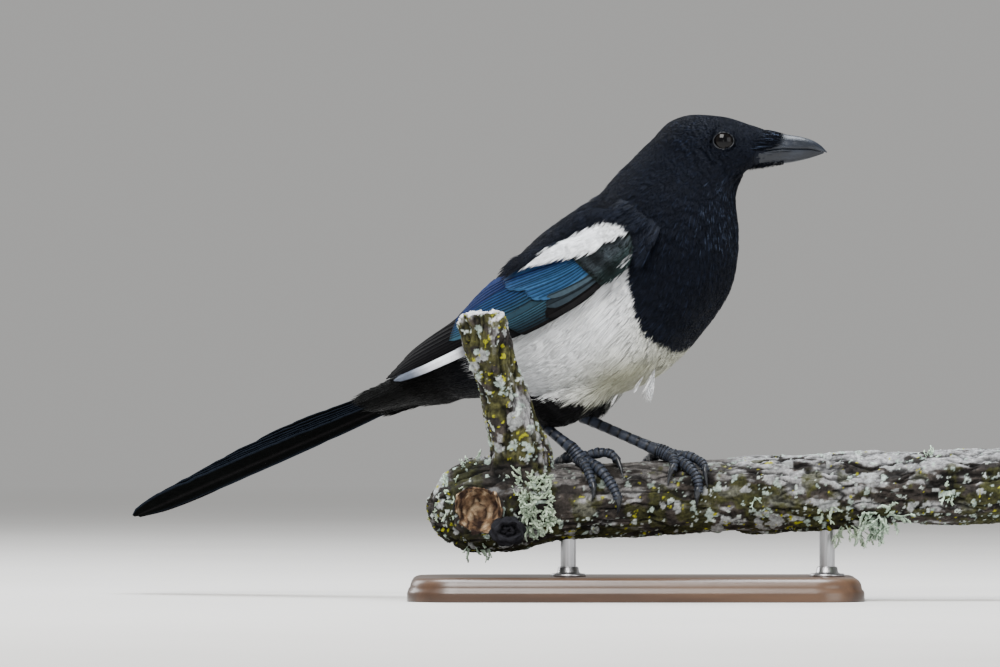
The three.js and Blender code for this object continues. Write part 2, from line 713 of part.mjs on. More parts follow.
// A side branch broken off short, towards the viewer and down, with a hollow face.
const BROKEN = { x: -77, y: -12, z: 46, toward: [-0.25, -0.93, -0.25], radius: 14.5, reach: 15.5 };

function brokenSide() {
  const out = V(...BROKEN.toward).normalize();
  const start = V(BROKEN.x, BROKEN.y, BROKEN.z);
  const path = range(4).map((t) => start.clone().addScaledVector(out, t * BROKEN.reach));
  return tube(path, (t) => BROKEN.radius * (1 - 0.14 * t * t), 12);
}

function hollow() {
  const out = V(...BROKEN.toward).normalize();
  const place = V(BROKEN.x, BROKEN.y, BROKEN.z).addScaledVector(out, BROKEN.reach + 6.5);
  return ball(place, 11, 10);
}

const perch = () => largest(fuse([branchLoft(), stub(), brokenSide()]).subtract(hollow()));
const perchSwollen = () => branchLoft(GAP).add(stub(GAP)).add(brokenSide());

// Legs and feet. Toe places are [x, angle round the branch, lift of the toe's middle], and a
// claw's tip is [x, angle] on the bark.

const TOE_RADII = { outer: [2.3, 1.6], middle: [2.5, 1.8], inner: [2.4, 1.7], hind: [2.5, 1.9] };
const LEGS = {
  right: {
    knee: [-15, -10, 113],
    bulge: [-38, 0, 98.5],
    heel: [-57.6, 14.5, 97.8],
    ankle: [-32, -4.5, 77.2],
    thigh: [10.5, 5],
    toes: {
      outer: { places: [[-28.5, 15, 3.1], [-24.5, 42, 3.4], [-21.3, 69, 2.2]], claw: [-22.4, 90] },
      middle: { places: [[-27.5, 14, 3.3], [-15, 55, 3.2], [-8.8, 88, 2.3]], claw: [-9.3, 113] },
      inner: { places: [[-27.5, 8, 3.6], [-15.5, 12, 6.2], [-9.3, 25, 3.2]], claw: [-6.2, 55] },
      hind: { places: [[-29, 4, 3.4], [-37, -22, 3.8], [-43, -58, 2.6]], claw: [-46.5, -88] },
    },
  },
  left: {
    knee: [-4, 25, 120],
    bulge: [-19, 21, 106],
    heel: [-27, 16.5, 93.2],
    ankle: [12, -3.6, 76.2],
    thigh: [10, 7],
    toes: {
      outer: { places: [[17.5, 10, 3.4], [31.5, 33, 4.6], [35.4, 52, 3]], claw: [36.8, 76] },
      middle: { places: [[17.5, 14, 3.3], [29.6, 54, 3.2], [31.8, 82, 2.3]], claw: [31.2, 105] },
      inner: { places: [[16, 12, 3.4], [19.6, 34, 5.4], [19, 48, 3.4]], claw: [16.4, 70] },
      hind: { places: [[15, 4, 3.4], [8, -24, 3.8], [3, -60, 2.6]], claw: [0, -90] },
    },
  },
};

// The toe's middle line: a smooth bend through its three places.
function toeLine(places, t) {
  const mix = (k) => {
    const [a, b, c] = places.map((p) => p[k]);
    const bend = 2 * b - (a + c) / 2;
    return (1 - t) ** 2 * a + 2 * t * (1 - t) * bend + t * t * c;
  };
  return onBranch(mix(0), mix(1), mix(2));
}

// Overlapping plates on a tube's upper side: each is thick at its far edge and thin at its root.
const SCUTE = 0.13;
function scaled(line, radius, count, sides) {
  const stops = range(count).flatMap((t) => [t, t + 0.84 / (count - 1)]).slice(0, -1);
  const path = stops.map(line);
  const at = (share) => Math.round(share * (stops.length - 1));
  return tube(
    path,
    (share, angle) => {
      const upper = Math.max(0, Math.sin(rad(angle)));
      const step = at(share) % 2 ? SCUTE : -SCUTE / 2;
      return radius(stops[at(share)]) * (1 + step * upper);
    },
    sides,
  );
}

// Pads swell between a toe's joints.
const toeRadius = (r, t) => lerp(r[0], r[1], t) * (1 + 0.07 * Math.cos(t * Math.PI * 6));
const toe = ([name, { places }]) =>
  scaled((t) => toeLine(places, t), (t) => toeRadius(TOE_RADII[name], t), 5, 7);

const ANKLE_RADIUS = 3.1;
function foot(leg) {
  const ankle = V(...leg.ankle);
  const along = ankle.clone().sub(V(...leg.heel)).normalize();
  const joint = toeLine(leg.toes.middle.places, 0).add(V(-0.6, 0, 0.5));
  const step = (distance) => ankle.clone().addScaledVector(along, distance);
  const instep = tube([step(GAP), step(1.5), joint], () => ANKLE_RADIUS, 7);
  const made = fuse([...Object.entries(leg.toes).map(toe), ball(joint, 3.5, 8), instep]);
  return largest(made.subtract(perchSwollen()).subtract(shankRoom(leg)));
}

const CLAW_TIP = 0.35;
function claw(name, { places, claw: tip }) {
  const end = toeLine(places, 1);
  const along = end.clone().sub(toeLine(places, 0.97)).normalize();
  const start = end.clone().addScaledVector(along, GAP);
  const point = onBranch(tip[0], tip[1], 1);
  const away = end.clone().sub(V(end.x, 0, branchAxis(end.x))).normalize();
  const square = start.clone().addScaledVector(along, 0.5);
  const bend = start.clone().addScaledVector(along, 3.4).addScaledVector(away, 1.1);
  const curve = new THREE.QuadraticBezierCurve3(square, bend, point);
  const root = 0.78 * TOE_RADII[name][1];
  return tube([start, ...curve.getPoints(4)], (t) => lerp(root, CLAW_TIP, t ** 0.8), 6);
}

// The bare shank, with plates down its front.
const shankRadius = (t) => lerp(3.1, 2.55, Math.sin(Math.PI * t) ** 0.5) + 0.4 * t ** 6;
const shankLine = (leg) => (t) => V(...leg.heel).lerp(V(...leg.ankle), t);
const shank = (leg) => scaled(shankLine(leg), shankRadius, 9, 8);

// The room that the shank needs in its neighbours.
const shankRoom = (leg) =>
  tube([-0.012, 1.008].map(shankLine(leg)), () => shankRadius(0) * (1 + SCUTE) + GAP, 8);

// The feathered thigh is an oval cone from inside the belly to just past the heel, with locks
// of feathers that stand out a little at their tips.
function thigh(leg) {
  const [knee, bulge, heel] = [V(...leg.knee), V(...leg.bulge), V(...leg.heel)];
  const line = new THREE.QuadraticBezierCurve3(
    knee,
    bulge.clone().multiplyScalar(2).addScaledVector(knee, -0.5).addScaledVector(heel, -0.5),
    heel,
  );
  const [wide, narrow] = leg.thigh;
  const taper = through([
    [0, wide * 0.6], [0.2, wide * 0.95], [0.5, wide], [0.8, narrow * 1.3], [1, narrow * 0.8],
  ]);
  const core = tube(range(6).map((t) => line.getPoint(t)), taper, 10);
  const locks = [0.3, 0.52].flatMap((start) =>
    turns(4).map((a) => {
      const turn = a + start * 160;
      const rows = range(2).map((u) => {
        const t = start + u * 0.42;
        const along = line.getTangent(t);
        const across = V(0, 0, 1).cross(along).normalize();
        const up = along.clone().cross(across);
        const r = taper(t) - 1 + 1.1 * u;
        return [-1, 1.3].map((h) =>
          [-1, 1].map((v) => {
            const b = rad(turn + v * lerp(30, 9, u));
            return line
              .getPoint(t)
              .addScaledVector(across, (r + h) * Math.cos(b))
              .addScaledVector(up, (r + h) * Math.sin(b));
          }),
        );
      });
      return sheet(rows.map((q) => q[1]), rows.map((q) => q[0]));
    }),
  );
  return fuse([core, ...locks]);
}

// Lichen tufts: flat, forked lobes that spread from the bark and curl out.
function lichen(seed, x, angle, lobes, size, droop) {
  const random = (k) => {
    const n = Math.sin(seed * 12.9898 + k * 78.233) * 43758.5453;
    return n - Math.floor(n);
  };
  const root = onBranch(x, angle, GAP + 0.9);
  const out = root.clone().sub(V(x, 0, branchAxis(x))).normalize();
  const side = V(1, 0, 0);
  const rise = out.clone().cross(side).normalize();
  const pieces = [ball(root.clone().addScaledVector(out, 0.4), 3, 6)];
  for (let k = 0; k < lobes; k++) {
    const turn = (2 * Math.PI * k) / lobes + random(k) * 0.5;
    const long = size * (0.65 + 0.5 * random(k + 20));
    const spread = side.clone().multiplyScalar(Math.cos(turn)).addScaledVector(rise, Math.sin(turn));
    const flat = out.clone().cross(spread).normalize();
    const rows = range(3).map((u) => {
      const middle = root
        .clone()
        .addScaledVector(spread, long * u)
        .addScaledVector(out, 1.6 + 4 * u * (0.6 + 0.8 * random(k + 40)))
        .add(V(0, 0, -droop * u * u));
      const half = [1.5, 2.4, 0.7][Math.round(u * 2)];
      return [0, 0.8].map((h) =>
        [-1, 1].map((v) =>
          middle.clone().addScaledVector(flat, v * half).addScaledVector(out, h),
        ),
      );
    });
    pieces.push(sheet(rows.map((q) => q[1]), rows.map((q) => q[0])));
  }
  return largest(fuse(pieces).subtract(perchSwollen()));
}

// Display stand

function standBase() {
  const { length, depth, height, corner, bevel } = BASE;
  const [w, d] = [length / 2 - bevel, depth / 2 - bevel];
  const outline = new THREE.Shape();
  outline.moveTo(-w + corner, -d);
  outline.lineTo(w - corner, -d);
  outline.absarc(w - corner, -d + corner, corner, -Math.PI / 2, 0);
  outline.absarc(w - corner, d - corner, corner, 0, Math.PI / 2);
  outline.absarc(-w + corner, d - corner, corner, Math.PI / 2, Math.PI);
  outline.absarc(-w + corner, -d + corner, corner, Math.PI, 1.5 * Math.PI);
  const plate = new THREE.ExtrudeGeometry(outline, {
    depth: height - 2 * bevel,
    bevelThickness: bevel,
    bevelSize: bevel,
    bevelSegments: 1,
    curveSegments: 4,
  });
  return solidOf(plate.translate(0, 0, bevel));
}

function standRod(x) {
  const top = branchAxis(x);
  const bottom = BASE.height + GAP;
  const rod = new THREE.CylinderGeometry(ROD_RADIUS, ROD_RADIUS, top - bottom, 16)
    .rotateX(Math.PI / 2)
    .translate(x, 0, (top + bottom) / 2);
  return largest(solidOf(rod).subtract(branchLoft(GAP)));
}

// Assembly

const bird = new THREE.Group();
const stand = new THREE.Group();

const torsoLoft = (swell) => bodyLoft(TAIL_BASE, NECK - JOIN, 19, 26, swell);
const torso = torsoLoft(0);
const torsoSwollen = torsoLoft(GAP + 0.1);
bird.add(meshOf("torso", torso, WHITE));
bird.add(meshOf("neck", bodyLoft(NECK + JOIN, NAPE - JOIN, 6, 24), BLACK));
bird.add(meshOf("head", head(), BLACK));
bird.add(meshOf("bill_upper", billHalf(1), HORN));
bird.add(meshOf("bill_lower", billHalf(-1), HORN));
bird.add(meshOf("tail", tail(), TAIL_BLACK));
for (const [name, side] of [["right", -1], ["left", 1]]) {
  const leg = LEGS[name];
  bird.add(meshOf(`eye_${name}`, ball(eyePlace(side), EYE_RADIUS, EYE_SIDES), EYE));
  bird.add(meshOf(`wing_${name}`, wing(side), BLUE));
  bird.add(meshOf(`scapulars_${name}`, scapulars(side), WHITE));
  const legTop = largest(thigh(leg).subtract(torsoSwollen).subtract(shankRoom(leg)));
  bird.add(meshOf(`thigh_${name}`, legTop, BLACK));
  bird.add(meshOf(`shank_${name}`, shank(leg), HORN));
  bird.add(meshOf(`foot_${name}`, foot(leg), HORN));
  for (const [toeName, one] of Object.entries(leg.toes))
    bird.add(meshOf(`claw_${name}_${toeName}`, claw(toeName, one), HORN));
}
stand.add(meshOf("perch_branch", perch(), BARK));
stand.add(meshOf("perch_lichen_front", lichen(3, -47, 78, 6, 12, 2), LICHEN));
stand.add(meshOf("perch_lichen_under", lichen(8, 122, 122, 5, 9, 5), LICHEN));
stand.add(meshOf("stand_base", standBase(), WOOD));
ROD_X.forEach((x, i) => stand.add(meshOf(`stand_rod_${i + 1}`, standRod(x), STEEL)));

const magpie = new THREE.Group();
magpie.add(bird, stand);
export default magpie;
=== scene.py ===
"""The looks of a life-size Eurasian magpie that grips a cut length of branch on a display stand.

Lengths are millimetres in the solids' own frame until mesh_object() makes them metres. The bird's
surface is described by a chart: a station number from tail (0) to bill (15), an angle that is 0 at
the flank and 90 degrees on the back, a side (-1 is the bird's right) and a lift above the body."""

import math

import bpy
import numpy as np
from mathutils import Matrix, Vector
from mathutils.bvhtree import BVHTree
from mathutils.kdtree import KDTree


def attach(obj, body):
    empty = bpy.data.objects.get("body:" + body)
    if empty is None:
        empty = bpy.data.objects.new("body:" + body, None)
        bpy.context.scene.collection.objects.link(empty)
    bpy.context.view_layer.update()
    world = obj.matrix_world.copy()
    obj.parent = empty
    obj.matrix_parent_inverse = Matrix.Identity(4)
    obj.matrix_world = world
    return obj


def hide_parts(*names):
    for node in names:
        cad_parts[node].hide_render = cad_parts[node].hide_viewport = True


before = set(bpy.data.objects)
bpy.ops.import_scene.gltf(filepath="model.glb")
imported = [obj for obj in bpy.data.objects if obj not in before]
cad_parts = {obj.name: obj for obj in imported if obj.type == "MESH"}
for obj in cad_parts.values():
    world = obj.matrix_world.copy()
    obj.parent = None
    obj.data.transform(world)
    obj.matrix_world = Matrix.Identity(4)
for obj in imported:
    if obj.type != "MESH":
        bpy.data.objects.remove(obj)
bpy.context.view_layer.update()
MM = 0.001

# Driving dimensions, as in the solids

BODY_YAW = 32
BODY_Y = -9
ROUNDNESS = 2.2
EGG = 0.06
WING_LIFT = 1.3
WING_THICKNESS = 5.6

TAIL_LENGTH = 200
TAIL_ROLL = 9
TAIL_PITCH = 20.5
TAIL_DROP = 2
TAIL_LAYER = 0.42
TAIL_CAMBER = 0.004

BILL_Y = -28.5
BILL_BASE_X = 67.2
BILL_LENGTH = 29.9

EYE_RADIUS = 6.8
EYE_X = 44.4
EYE_Z = 233.5
EYE_FROM_MIDDLE = 10
LID_OPENING = (5.2, 4.3)

BRANCH_RADIUS = 19
BRANCH_START = -105.5
BRANCH_END = 192
BRANCH_SLOPE = 0.039
BRANCH_AXIS_Z = 51.3

BASE = {"length": 232, "depth": 124, "height": 12, "corner": 26}
ROD_X = (-34, 98)

TAIL_BASE = 2
BREAST = 7
BILL = 15
MIDDLE = None

# Stations: x, y, z, yaw, pitch, body half depth and half width, then the same over the wings.
STATIONS = [
    (-135.6, MIDDLE, 102.2, 32, 22, 3, 6, 2.8, 9),
    (-121.1, MIDDLE, 108.4, 32, 22, 5, 9, 4.8, 14),
    (-99.7, MIDDLE, 114.6, 32, 24, 12.5, 13.5, 17, 20),
    (-71.4, MIDDLE, 125.9, 32, 28, 25.5, 22, 27, 25),
    (-41.7, MIDDLE, 136.7, 32, 33, 41, 31, 41.8, 31.8),
    (-15.8, MIDDLE, 152, 32, 37, 47.7, 35, 48.5, 35.8),
    (2, MIDDLE, 167.8, 32, 42, 45.4, 35, 46.2, 35.8),
    (15.4, MIDDLE, 184, 32, 53, 41.6, 32, 42.4, 32.8),
    (20.6, -22.7, 201.4, 30, 64, 35.3, 26.4, 37, 27.4),
    (24.9, -24.7, 214.9, 22, 67, 28, 21.3, 29.5, 22.5),
    (31.2, -27, 224.5, 12, 67, 24.9, 18.5, 25, 19),
    (36, -28, 230.1, 5, 57, 23.4, 18, 24, 19),
    (43.8, BILL_Y, 233.1, 0, 45, 19.5, 16.3, 20, 17),
    (52, BILL_Y, 233.1, 0, 32, 15.1, 13.6, 16, 15),
    (60.6, BILL_Y, 231.6, 0, 18, 11.05, 10, 12, 11),
    (66.9, BILL_Y, 230.2, 0, 0, 8.6, 7.2, 9, 8),
]

LEGS = {
    "right": {
        "line": [(-15, -10, 113), (-38, 0, 98.5), (-57.6, 14.5, 97.8)],
        "ankle": (-32, -4.5, 77.2),
        "thigh": (10.5, 5),
        "toes": {
            "outer": ([(-28.5, 15, 3.1), (-24.5, 42, 3.4), (-21.3, 69, 2.2)], (-22.4, 90)),
            "middle": ([(-27.5, 14, 3.3), (-15, 55, 3.2), (-8.8, 88, 2.3)], (-9.3, 113)),
            "inner": ([(-27.5, 8, 3.6), (-15.5, 12, 6.2), (-9.3, 25, 3.2)], (-6.2, 55)),
            "hind": ([(-29, 4, 3.4), (-37, -22, 3.8), (-43, -58, 2.6)], (-46.5, -88)),
        },
    },
    "left": {
        "line": [(-4, 25, 120), (-19, 21, 106), (-27, 16.5, 93.2)],
        "ankle": (12, -3.6, 76.2),
        "thigh": (10, 7),
        "toes": {
            "outer": ([(17.5, 10, 3.4), (31.5, 33, 4.6), (35.4, 52, 3)], (36.8, 76)),
            "middle": ([(17.5, 14, 3.3), (29.6, 54, 3.2), (31.8, 82, 2.3)], (31.2, 105)),
            "inner": ([(16, 12, 3.4), (19.6, 34, 5.4), (19, 48, 3.4)], (16.4, 70)),
            "hind": ([(15, 4, 3.4), (8, -24, 3.8), (3, -60, 2.6)], (0, -90)),
        },
    },
}
TOE_RADII = {"outer": (2.3, 1.6), "middle": (2.5, 1.8), "inner": (2.4, 1.7), "hind": (2.5, 1.9)}
SIDES = {"right": -1, "left": 1}

# Small mathematics


def lerp(a, b, t):
    return a + (b - a) * t


def unit(v):
    return v / np.maximum(np.linalg.norm(v, axis=-1, keepdims=True), 1e-9)


def through(pairs):
    """A smooth curve through [knot, value] pairs, with no overshoot between them."""
    knots, values = (np.array(column, float) for column in zip(*pairs))
    step = np.diff(knots)
    rise = np.diff(values) / step
    slope = np.zeros_like(values)
    slope[0], slope[-1] = rise[0], rise[-1]
    for i in range(1, len(values) - 1):
        if rise[i - 1] * rise[i] > 0:
            before = 2 * step[i] + step[i - 1]
            after = step[i] + 2 * step[i - 1]
            slope[i] = (before + after) / (before / rise[i - 1] + after / rise[i])

    def value(x):
        x = np.clip(np.asarray(x, float), knots[0], knots[-1])
        i = np.clip(np.searchsorted(knots, x) - 1, 0, len(step) - 1)
        t = (x - knots[i]) / step[i]
        return (
            (1 + 2 * t) * (1 - t) ** 2 * values[i]
            + t * (1 - t) ** 2 * step[i] * slope[i]
            + t * t * (3 - 2 * t) * values[i + 1]
            + t * t * (t - 1) * step[i] * slope[i + 1]
        )

    return value


def smoothstep(low, high, x):
    t = np.clip((np.asarray(x, float) - low) / (high - low), 0, 1)
    return t * t * (3 - 2 * t)


def hashed(cells, seed):
    """A number from 0 to 1 for each whole-number cell."""
    x, y, z = (cells[..., k].astype(np.int64) for k in range(3))
    n = (x * 374761393 + y * 668265263 + z * 1274126177 + seed * 97531) & 0xFFFFFFFF
    n = ((n ^ (n >> 13)) * 1103515245) & 0xFFFFFFFF
    n = ((n ^ (n >> 16)) * 668265263) & 0xFFFFFFFF
    return (n & 0xFFFFFF) / 0xFFFFFF


def noise(points, scale, seed=0):
    """Smooth value noise from -1 to 1, with features about scale across."""
    p = np.asarray(points, float) / np.asarray(scale, float)
    cell = np.floor(p)
    t = p - cell
    t = t * t * (3 - 2 * t)
    total = 0
    for corner in range(8):
        offset = np.array([corner & 1, (corner >> 1) & 1, corner >> 2])
        weight = np.prod(np.where(offset, t, 1 - t), axis=-1)
        total = total + weight * hashed(cell + offset, seed)
    return 2 * total - 1


def rough(points, scale, octaves, seed=0):
    """Layers of ever finer noise."""
    scale = np.asarray(scale, float)
    return sum(noise(points, scale / 2**k, seed + k) / 2**k for k in range(octaves)) / 1.8


# The body chart


def middle_y(x):
    return BODY_Y - x * math.tan(math.radians(BODY_YAW))


def track(read):
    return through([(i, read(station)) for i, station in enumerate(STATIONS)])


CENTRE = [
    track(lambda q: q[0]),
    track(lambda q: middle_y(q[0]) if q[1] is MIDDLE else q[1]),
    track(lambda q: q[2]),
]
YAW = track(lambda q: q[3])
PITCH = track(lambda q: q[4])
SHELLS = {
    "body": (track(lambda q: q[5]), track(lambda q: q[6])),
    "wing": (track(lambda q: q[7]), track(lambda q: q[8])),
}


def centre(s):
    return np.stack([c(s) for c in CENTRE], -1)


def on_section(s, angle, side, shell="body", lift=0.0):
    s, angle, side, lift = np.broadcast_arrays(*(np.asarray(v, float) for v in (s, angle, side, lift)))
    yaw, pitch = np.radians(YAW(s)), np.radians(PITCH(s))
    left = np.stack([np.sin(yaw), np.cos(yaw), np.zeros_like(yaw)], -1)
    up = np.stack(
        [-np.cos(yaw) * np.sin(pitch), np.sin(yaw) * np.sin(pitch), np.cos(pitch)], -1
    )
    c, n = np.cos(np.radians(angle)), np.sin(np.radians(angle))
    power = 2 / ROUNDNESS
    out = np.sign(c) * np.abs(c) ** power * (1 - EGG * n)
    high = np.sign(n) * np.abs(n) ** power
    depth, width = (curve(s) + lift for curve in SHELLS[shell])
    return centre(s) + left * (side * width * out)[..., None] + up * (depth * high)[..., None]


BACK_STATIONS = np.linspace(BREAST + 2.6, 0, 961)
BACK_LINE = centre(BACK_STATIONS)
BACK_SUM = np.concatenate([[0], np.cumsum(np.linalg.norm(np.diff(BACK_LINE, axis=0), axis=1))])
BREAST_BACK = np.interp(-BREAST, -BACK_STATIONS, BACK_SUM)


def station_at(back):
    """The station number at a distance back from the breast."""
    return np.interp(np.asarray(back, float) + BREAST_BACK, BACK_SUM, BACK_STATIONS)


def on_wing(side, back, angle, lift=0.0):
    return on_section(station_at(back), angle, side, "wing", lift)


ALONG = through([[-5, 0.25], [4, 0.62], [20, 0.9], [45, 1], [90, 0.85], [130, 0.6], [178, 0.3]])
ROUND = through([[30, 1], [50, 0.7], [75, 0.3]])
SEAM = through(
    [[-9, 4], [-4, 7], [5, 12.5], [17, 14.5], [30, 18], [37, 21.5], [62, 31], [72, 39], [84, 75], [90, 87]]
)


def envelope(back, angle):
    return WING_THICKNESS * ALONG(back) * ROUND(angle)


# Markings of the plumage, in stations by angle

BIB = through(
    [[-95, 5.62], [-65, 5.67], [-49, 5.71], [-36, 5.86], [-28, 6.02], [-19, 6.17], [-9, 6.42], [0, 6.65]]
)
VENT = through([[-95, 3.5], [-60, 3.35], [-30, 3.05], [0, 2.95]])
WHITE_TOP = 30
PATCH_LINE = through(
    [
        [-5, -6], [-4.2, 0], [-3.4, 5], [0, 11.5], [7, 19.5], [16, 25.5], [27, 28.5], [40, 29.5],
        [57, 28.6], [72, 30],
    ]
)
PATCH_LOW = through(
    [[-8, -5], [-4.1, -1.8], [1.4, 4.2], [8.8, 7.8], [20, 9.4], [35, 17], [57, 27.4], [70, 33]]
)

BLACK = np.array([0.0038, 0.0053, 0.0102])
# blue-violet painted sheen, given to a few of the near-black barbs
PAINTED_SHEEN = np.array([0.011, 0.016, 0.034])
SILVER = np.array([0.06, 0.08, 0.13])
WHITE = np.array([0.92, 0.94, 0.97])
# darker yellowish grey of the low belly towards the vent: partly soiling, partly painted shade on the
# underside
SOIL_AND_SHADE_TINT = np.array([0.4, 0.4, 0.3])
THIGH_TINT = np.array([0.0045, 0.0045, 0.005])
THIGH_FRINGE = ((-52, 103.5), (-48, 103), (-25, 99.8), (-12, 102), (0, 105.5))
EAR_LINE = ((16.5, 223), (28.5, 214.8))


def whiteness(s, angle):
    """1 on the white belly and flanks, 0 on the black plumage."""
    edge = smoothstep(-0.03, 0.03, BIB(angle) - s) * smoothstep(-0.03, 0.03, s - VENT(angle))
    return edge * (np.asarray(angle) < WHITE_TOP)


def throat_share(points):
    """1 where silvery streaks run down the front of the neck."""
    x, z = points[:, 0], points[:, 2]
    front = smoothstep(27, 40, x) * smoothstep(216, 207, z) * smoothstep(168, 182, z)
    return front * (points[:, 1] < BILL_Y + 30)


def black_tints(points, s, angle, random):
    """Near-black barbs, some of them lighter blue-violet as a painted sheen, with a painted highlight along
    the ear coverts' arc, and silvery ones on the throat.
    """
    throat = throat_share(points)
    eye_gap = np.hypot(points[:, 0] - EYE_X, points[:, 2] - EYE_Z)
    velvet = smoothstep(17, 8, eye_gap) * (s > 10)
    ear_a, ear_b = np.array(EAR_LINE)
    along = (ear_b - ear_a) / np.linalg.norm(ear_b - ear_a)
    offset = points[:, [0, 2]] - ear_a
    height = offset[:, 1] * along[0] - offset[:, 0] * along[1]
    on_ear = (np.abs(offset @ along - 7) < 8) * (s > 8)
    # Along the arc of the ear coverts more blades get the painted sheen, a painted highlight; the band just
    # under the arc gets none.
    ear = np.exp(-(((height - 1.2) / 1.5) ** 2)) * on_ear
    under_ear = np.exp(-(((height + 1.2) / 1.2) ** 2)) * on_ear
    chance = random.random(len(points))
    # light marks the blades that carry the painted blue-violet sheen, none of them in the velvet round the
    # eye.
    light = (chance < 0.1 + 0.3 * ear) * (1 - velvet) * (1 - under_ear)
    silver = (chance > 1 - 0.13 * throat) * 1.0
    tint = BLACK * np.exp(random.normal(0, 0.15, (len(points), 1)))
    tint = tint + PAINTED_SHEEN * (light * random.uniform(0.1, 0.6, len(points)))[:, None]
    tint = tint + SILVER * (silver * random.uniform(0.15, 0.7, len(points)))[:, None]
    return tint * smoothstep(2.0, 5.5, s)[:, None] ** 0.5


# Meshes


def new_mesh(name, points, faces):
    """A mesh from points in millimetres and arrays of triangles or quads."""
    mesh = bpy.data.meshes.new(name)
    points = np.asarray(points, float).reshape(-1, 3) * MM
    mesh.vertices.add(len(points))
    mesh.vertices.foreach_set("co", points.astype(np.float32).ravel())
    groups = [np.asarray(f, np.int32) for f in (faces if isinstance(faces, list) else [faces])]
    groups = [f for f in groups if len(f)]
    loops = np.concatenate([f.ravel() for f in groups])
    sizes = np.concatenate([np.full(len(f), f.shape[1], np.int32) for f in groups])
    mesh.loops.add(len(loops))
    mesh.loops.foreach_set("vertex_index", loops)
    mesh.polygons.add(len(sizes))
    starts = np.concatenate([[0], np.cumsum(sizes)[:-1]]).astype(np.int32)
    mesh.polygons.foreach_set("loop_start", starts)
    mesh.update(calc_edges=True)
    mesh.polygons.foreach_set("use_smooth", np.ones(len(sizes), bool))
    return mesh


def mesh_object(name, points, faces, material, slot=None, replaces=(), tint=None, uv=None):
    """A shown piece of the model, with a colour for each point and places on its bake map."""
    mesh = new_mesh(name, points, faces)
    if tint is not None:
        paint_points(mesh, tint)
    if uv is not None:
        set_bake_map(mesh, uv)
    mesh.materials.append(material)
    made = bpy.data.objects.new(name, mesh)
    bpy.context.scene.collection.objects.link(made)
    return register(made, slot, replaces)


def paint_points(mesh, tint):
    """Colours of the points. A fourth number, where given, is the barbs' place along a feather."""
    colours = np.ones((len(mesh.vertices), 4), np.float32)
    colours[:, : tint.shape[1]] = tint
    layer = mesh.color_attributes.new("tint", "FLOAT_COLOR", "POINT")
    layer.data.foreach_set("color", colours.ravel())


def register(made, slot, replaces=()):
    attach(made, "root")
    if replaces:
        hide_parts(*replaces)
    return made


def set_bake_map(mesh, uv):
    corners = np.empty(len(mesh.loops), np.int32)
    mesh.loops.foreach_get("vertex_index", corners)
    layer = mesh.uv_layers.new(name="OFBake")
    layer.data.foreach_set("uv", np.asarray(uv, np.float32)[corners].ravel())


def grid_faces(rows, columns, closed=False, start=0):
    """Quads between rows of points; closed joins the last column to the first."""
    i, j = np.meshgrid(np.arange(rows - 1), np.arange(columns if closed else columns - 1), indexing="ij")
    k = (j + 1) % columns
    quads = np.stack([i * columns + j, i * columns + k, (i + 1) * columns + k, (i + 1) * columns + j], -1)
    return quads.reshape(-1, 4) + start


def loft_faces(rows, columns, start=0):
    """Quads of a closed tube of rings, and a fan of triangles at each end."""
    j = np.arange(1, columns - 1)
    last = (rows - 1) * columns
    head = np.stack([np.zeros_like(j), j + 1, j], -1)
    tail = np.stack([np.full_like(j, last), last + j, last + j + 1], -1)
    return grid_faces(rows, columns, True, start), np.concatenate([head, tail]) + start


def volume(points, triangles):
    a, b, c = (points[triangles[:, k]] - points[triangles[0, 0]] for k in range(3))
    return np.einsum("ij,ij->", a, np.cross(b, c)) / 6


class Pile:
    """Points, faces and colours of many closed pieces that become one mesh."""

    def __init__(self):
        self.points, self.quads, self.triangles, self.tints, self.uvs = [], [], [], [], []
        self.count = 0

    def add(self, points, quads=None, triangles=None, tint=None, uv=None):
        points = np.asarray(points, float)
        shape = points.shape[:-1]
        self.points.append(points.reshape(-1, 3))
        if quads is not None:
            self.quads.append(quads + self.count)
        if triangles is not None:
            self.triangles.append(triangles + self.count)
        tint = WHITE if tint is None else np.asarray(tint)
        depth = tint.shape[-1]
        self.tints.append(np.broadcast_to(tint, (*shape, depth)).reshape(-1, depth))
        uv = (0.5, 0.5) if uv is None else uv
        self.uvs.append(np.broadcast_to(uv, (*shape, 2)).reshape(-1, 2))
        self.count += len(self.points[-1])

    def loft(self, rings, tint=None):
        """Adds a tube of rings with closed ends, its faces outward."""
        rings = np.asarray(rings, float)
        quads, triangles = loft_faces(*rings.shape[:2])
        flat = rings.reshape(-1, 3)
        halves = np.concatenate([quads[:, :3], quads[:, [0, 2, 3]], triangles])
        if volume(flat, halves) < 0:
            quads, triangles = quads[:, ::-1], triangles[:, ::-1]
        self.add(rings, quads, triangles, tint)

    def make(self, name, material, slot=None, replaces=(), coloured=True):
        faces = [np.concatenate(f) for f in (self.quads, self.triangles) if f]
        tint = np.concatenate(self.tints) if coloured else None
        return mesh_object(
            name, np.concatenate(self.points), faces, material, slot, replaces, tint,
            np.concatenate(self.uvs) if coloured else None,
        )


def frames_along(path):
    """Unit tangents of a path with side and upper directions square to them."""
    tangent = unit(np.gradient(path, axis=0))
    across = unit(np.cross([0, 0, 1], tangent))
    return tangent, across, np.cross(tangent, across)


def tube_rings(path, radius, sides):
    """Rings round a path. radius is (points, sides), and angle 90 is the path's upper side."""
    _, across, up = frames_along(path)
    a = np.linspace(0, 2 * math.pi, sides, endpoint=False)
    radius = np.broadcast_to(radius, (len(path), sides))[..., None]
    ring = across[:, None] * np.cos(a)[None, :, None] + up[:, None] * np.sin(a)[None, :, None]
    return path[:, None] + radius * ring


# Places of the four rings of a single blade, along its length

BLADE_STOPS = np.array([0, 0.36, 0.72, 1])


def bezier(a, b, c, t):
    """A bend that starts at a, passes b half way and ends at c."""
    a, b, c = (np.asarray(p, float) for p in (a, b, c))
    t = np.asarray(t, float)[..., None]
    return (1 - t) ** 2 * a + 2 * t * (1 - t) * (2 * b - (a + c) / 2) + t * t * c


# Materials


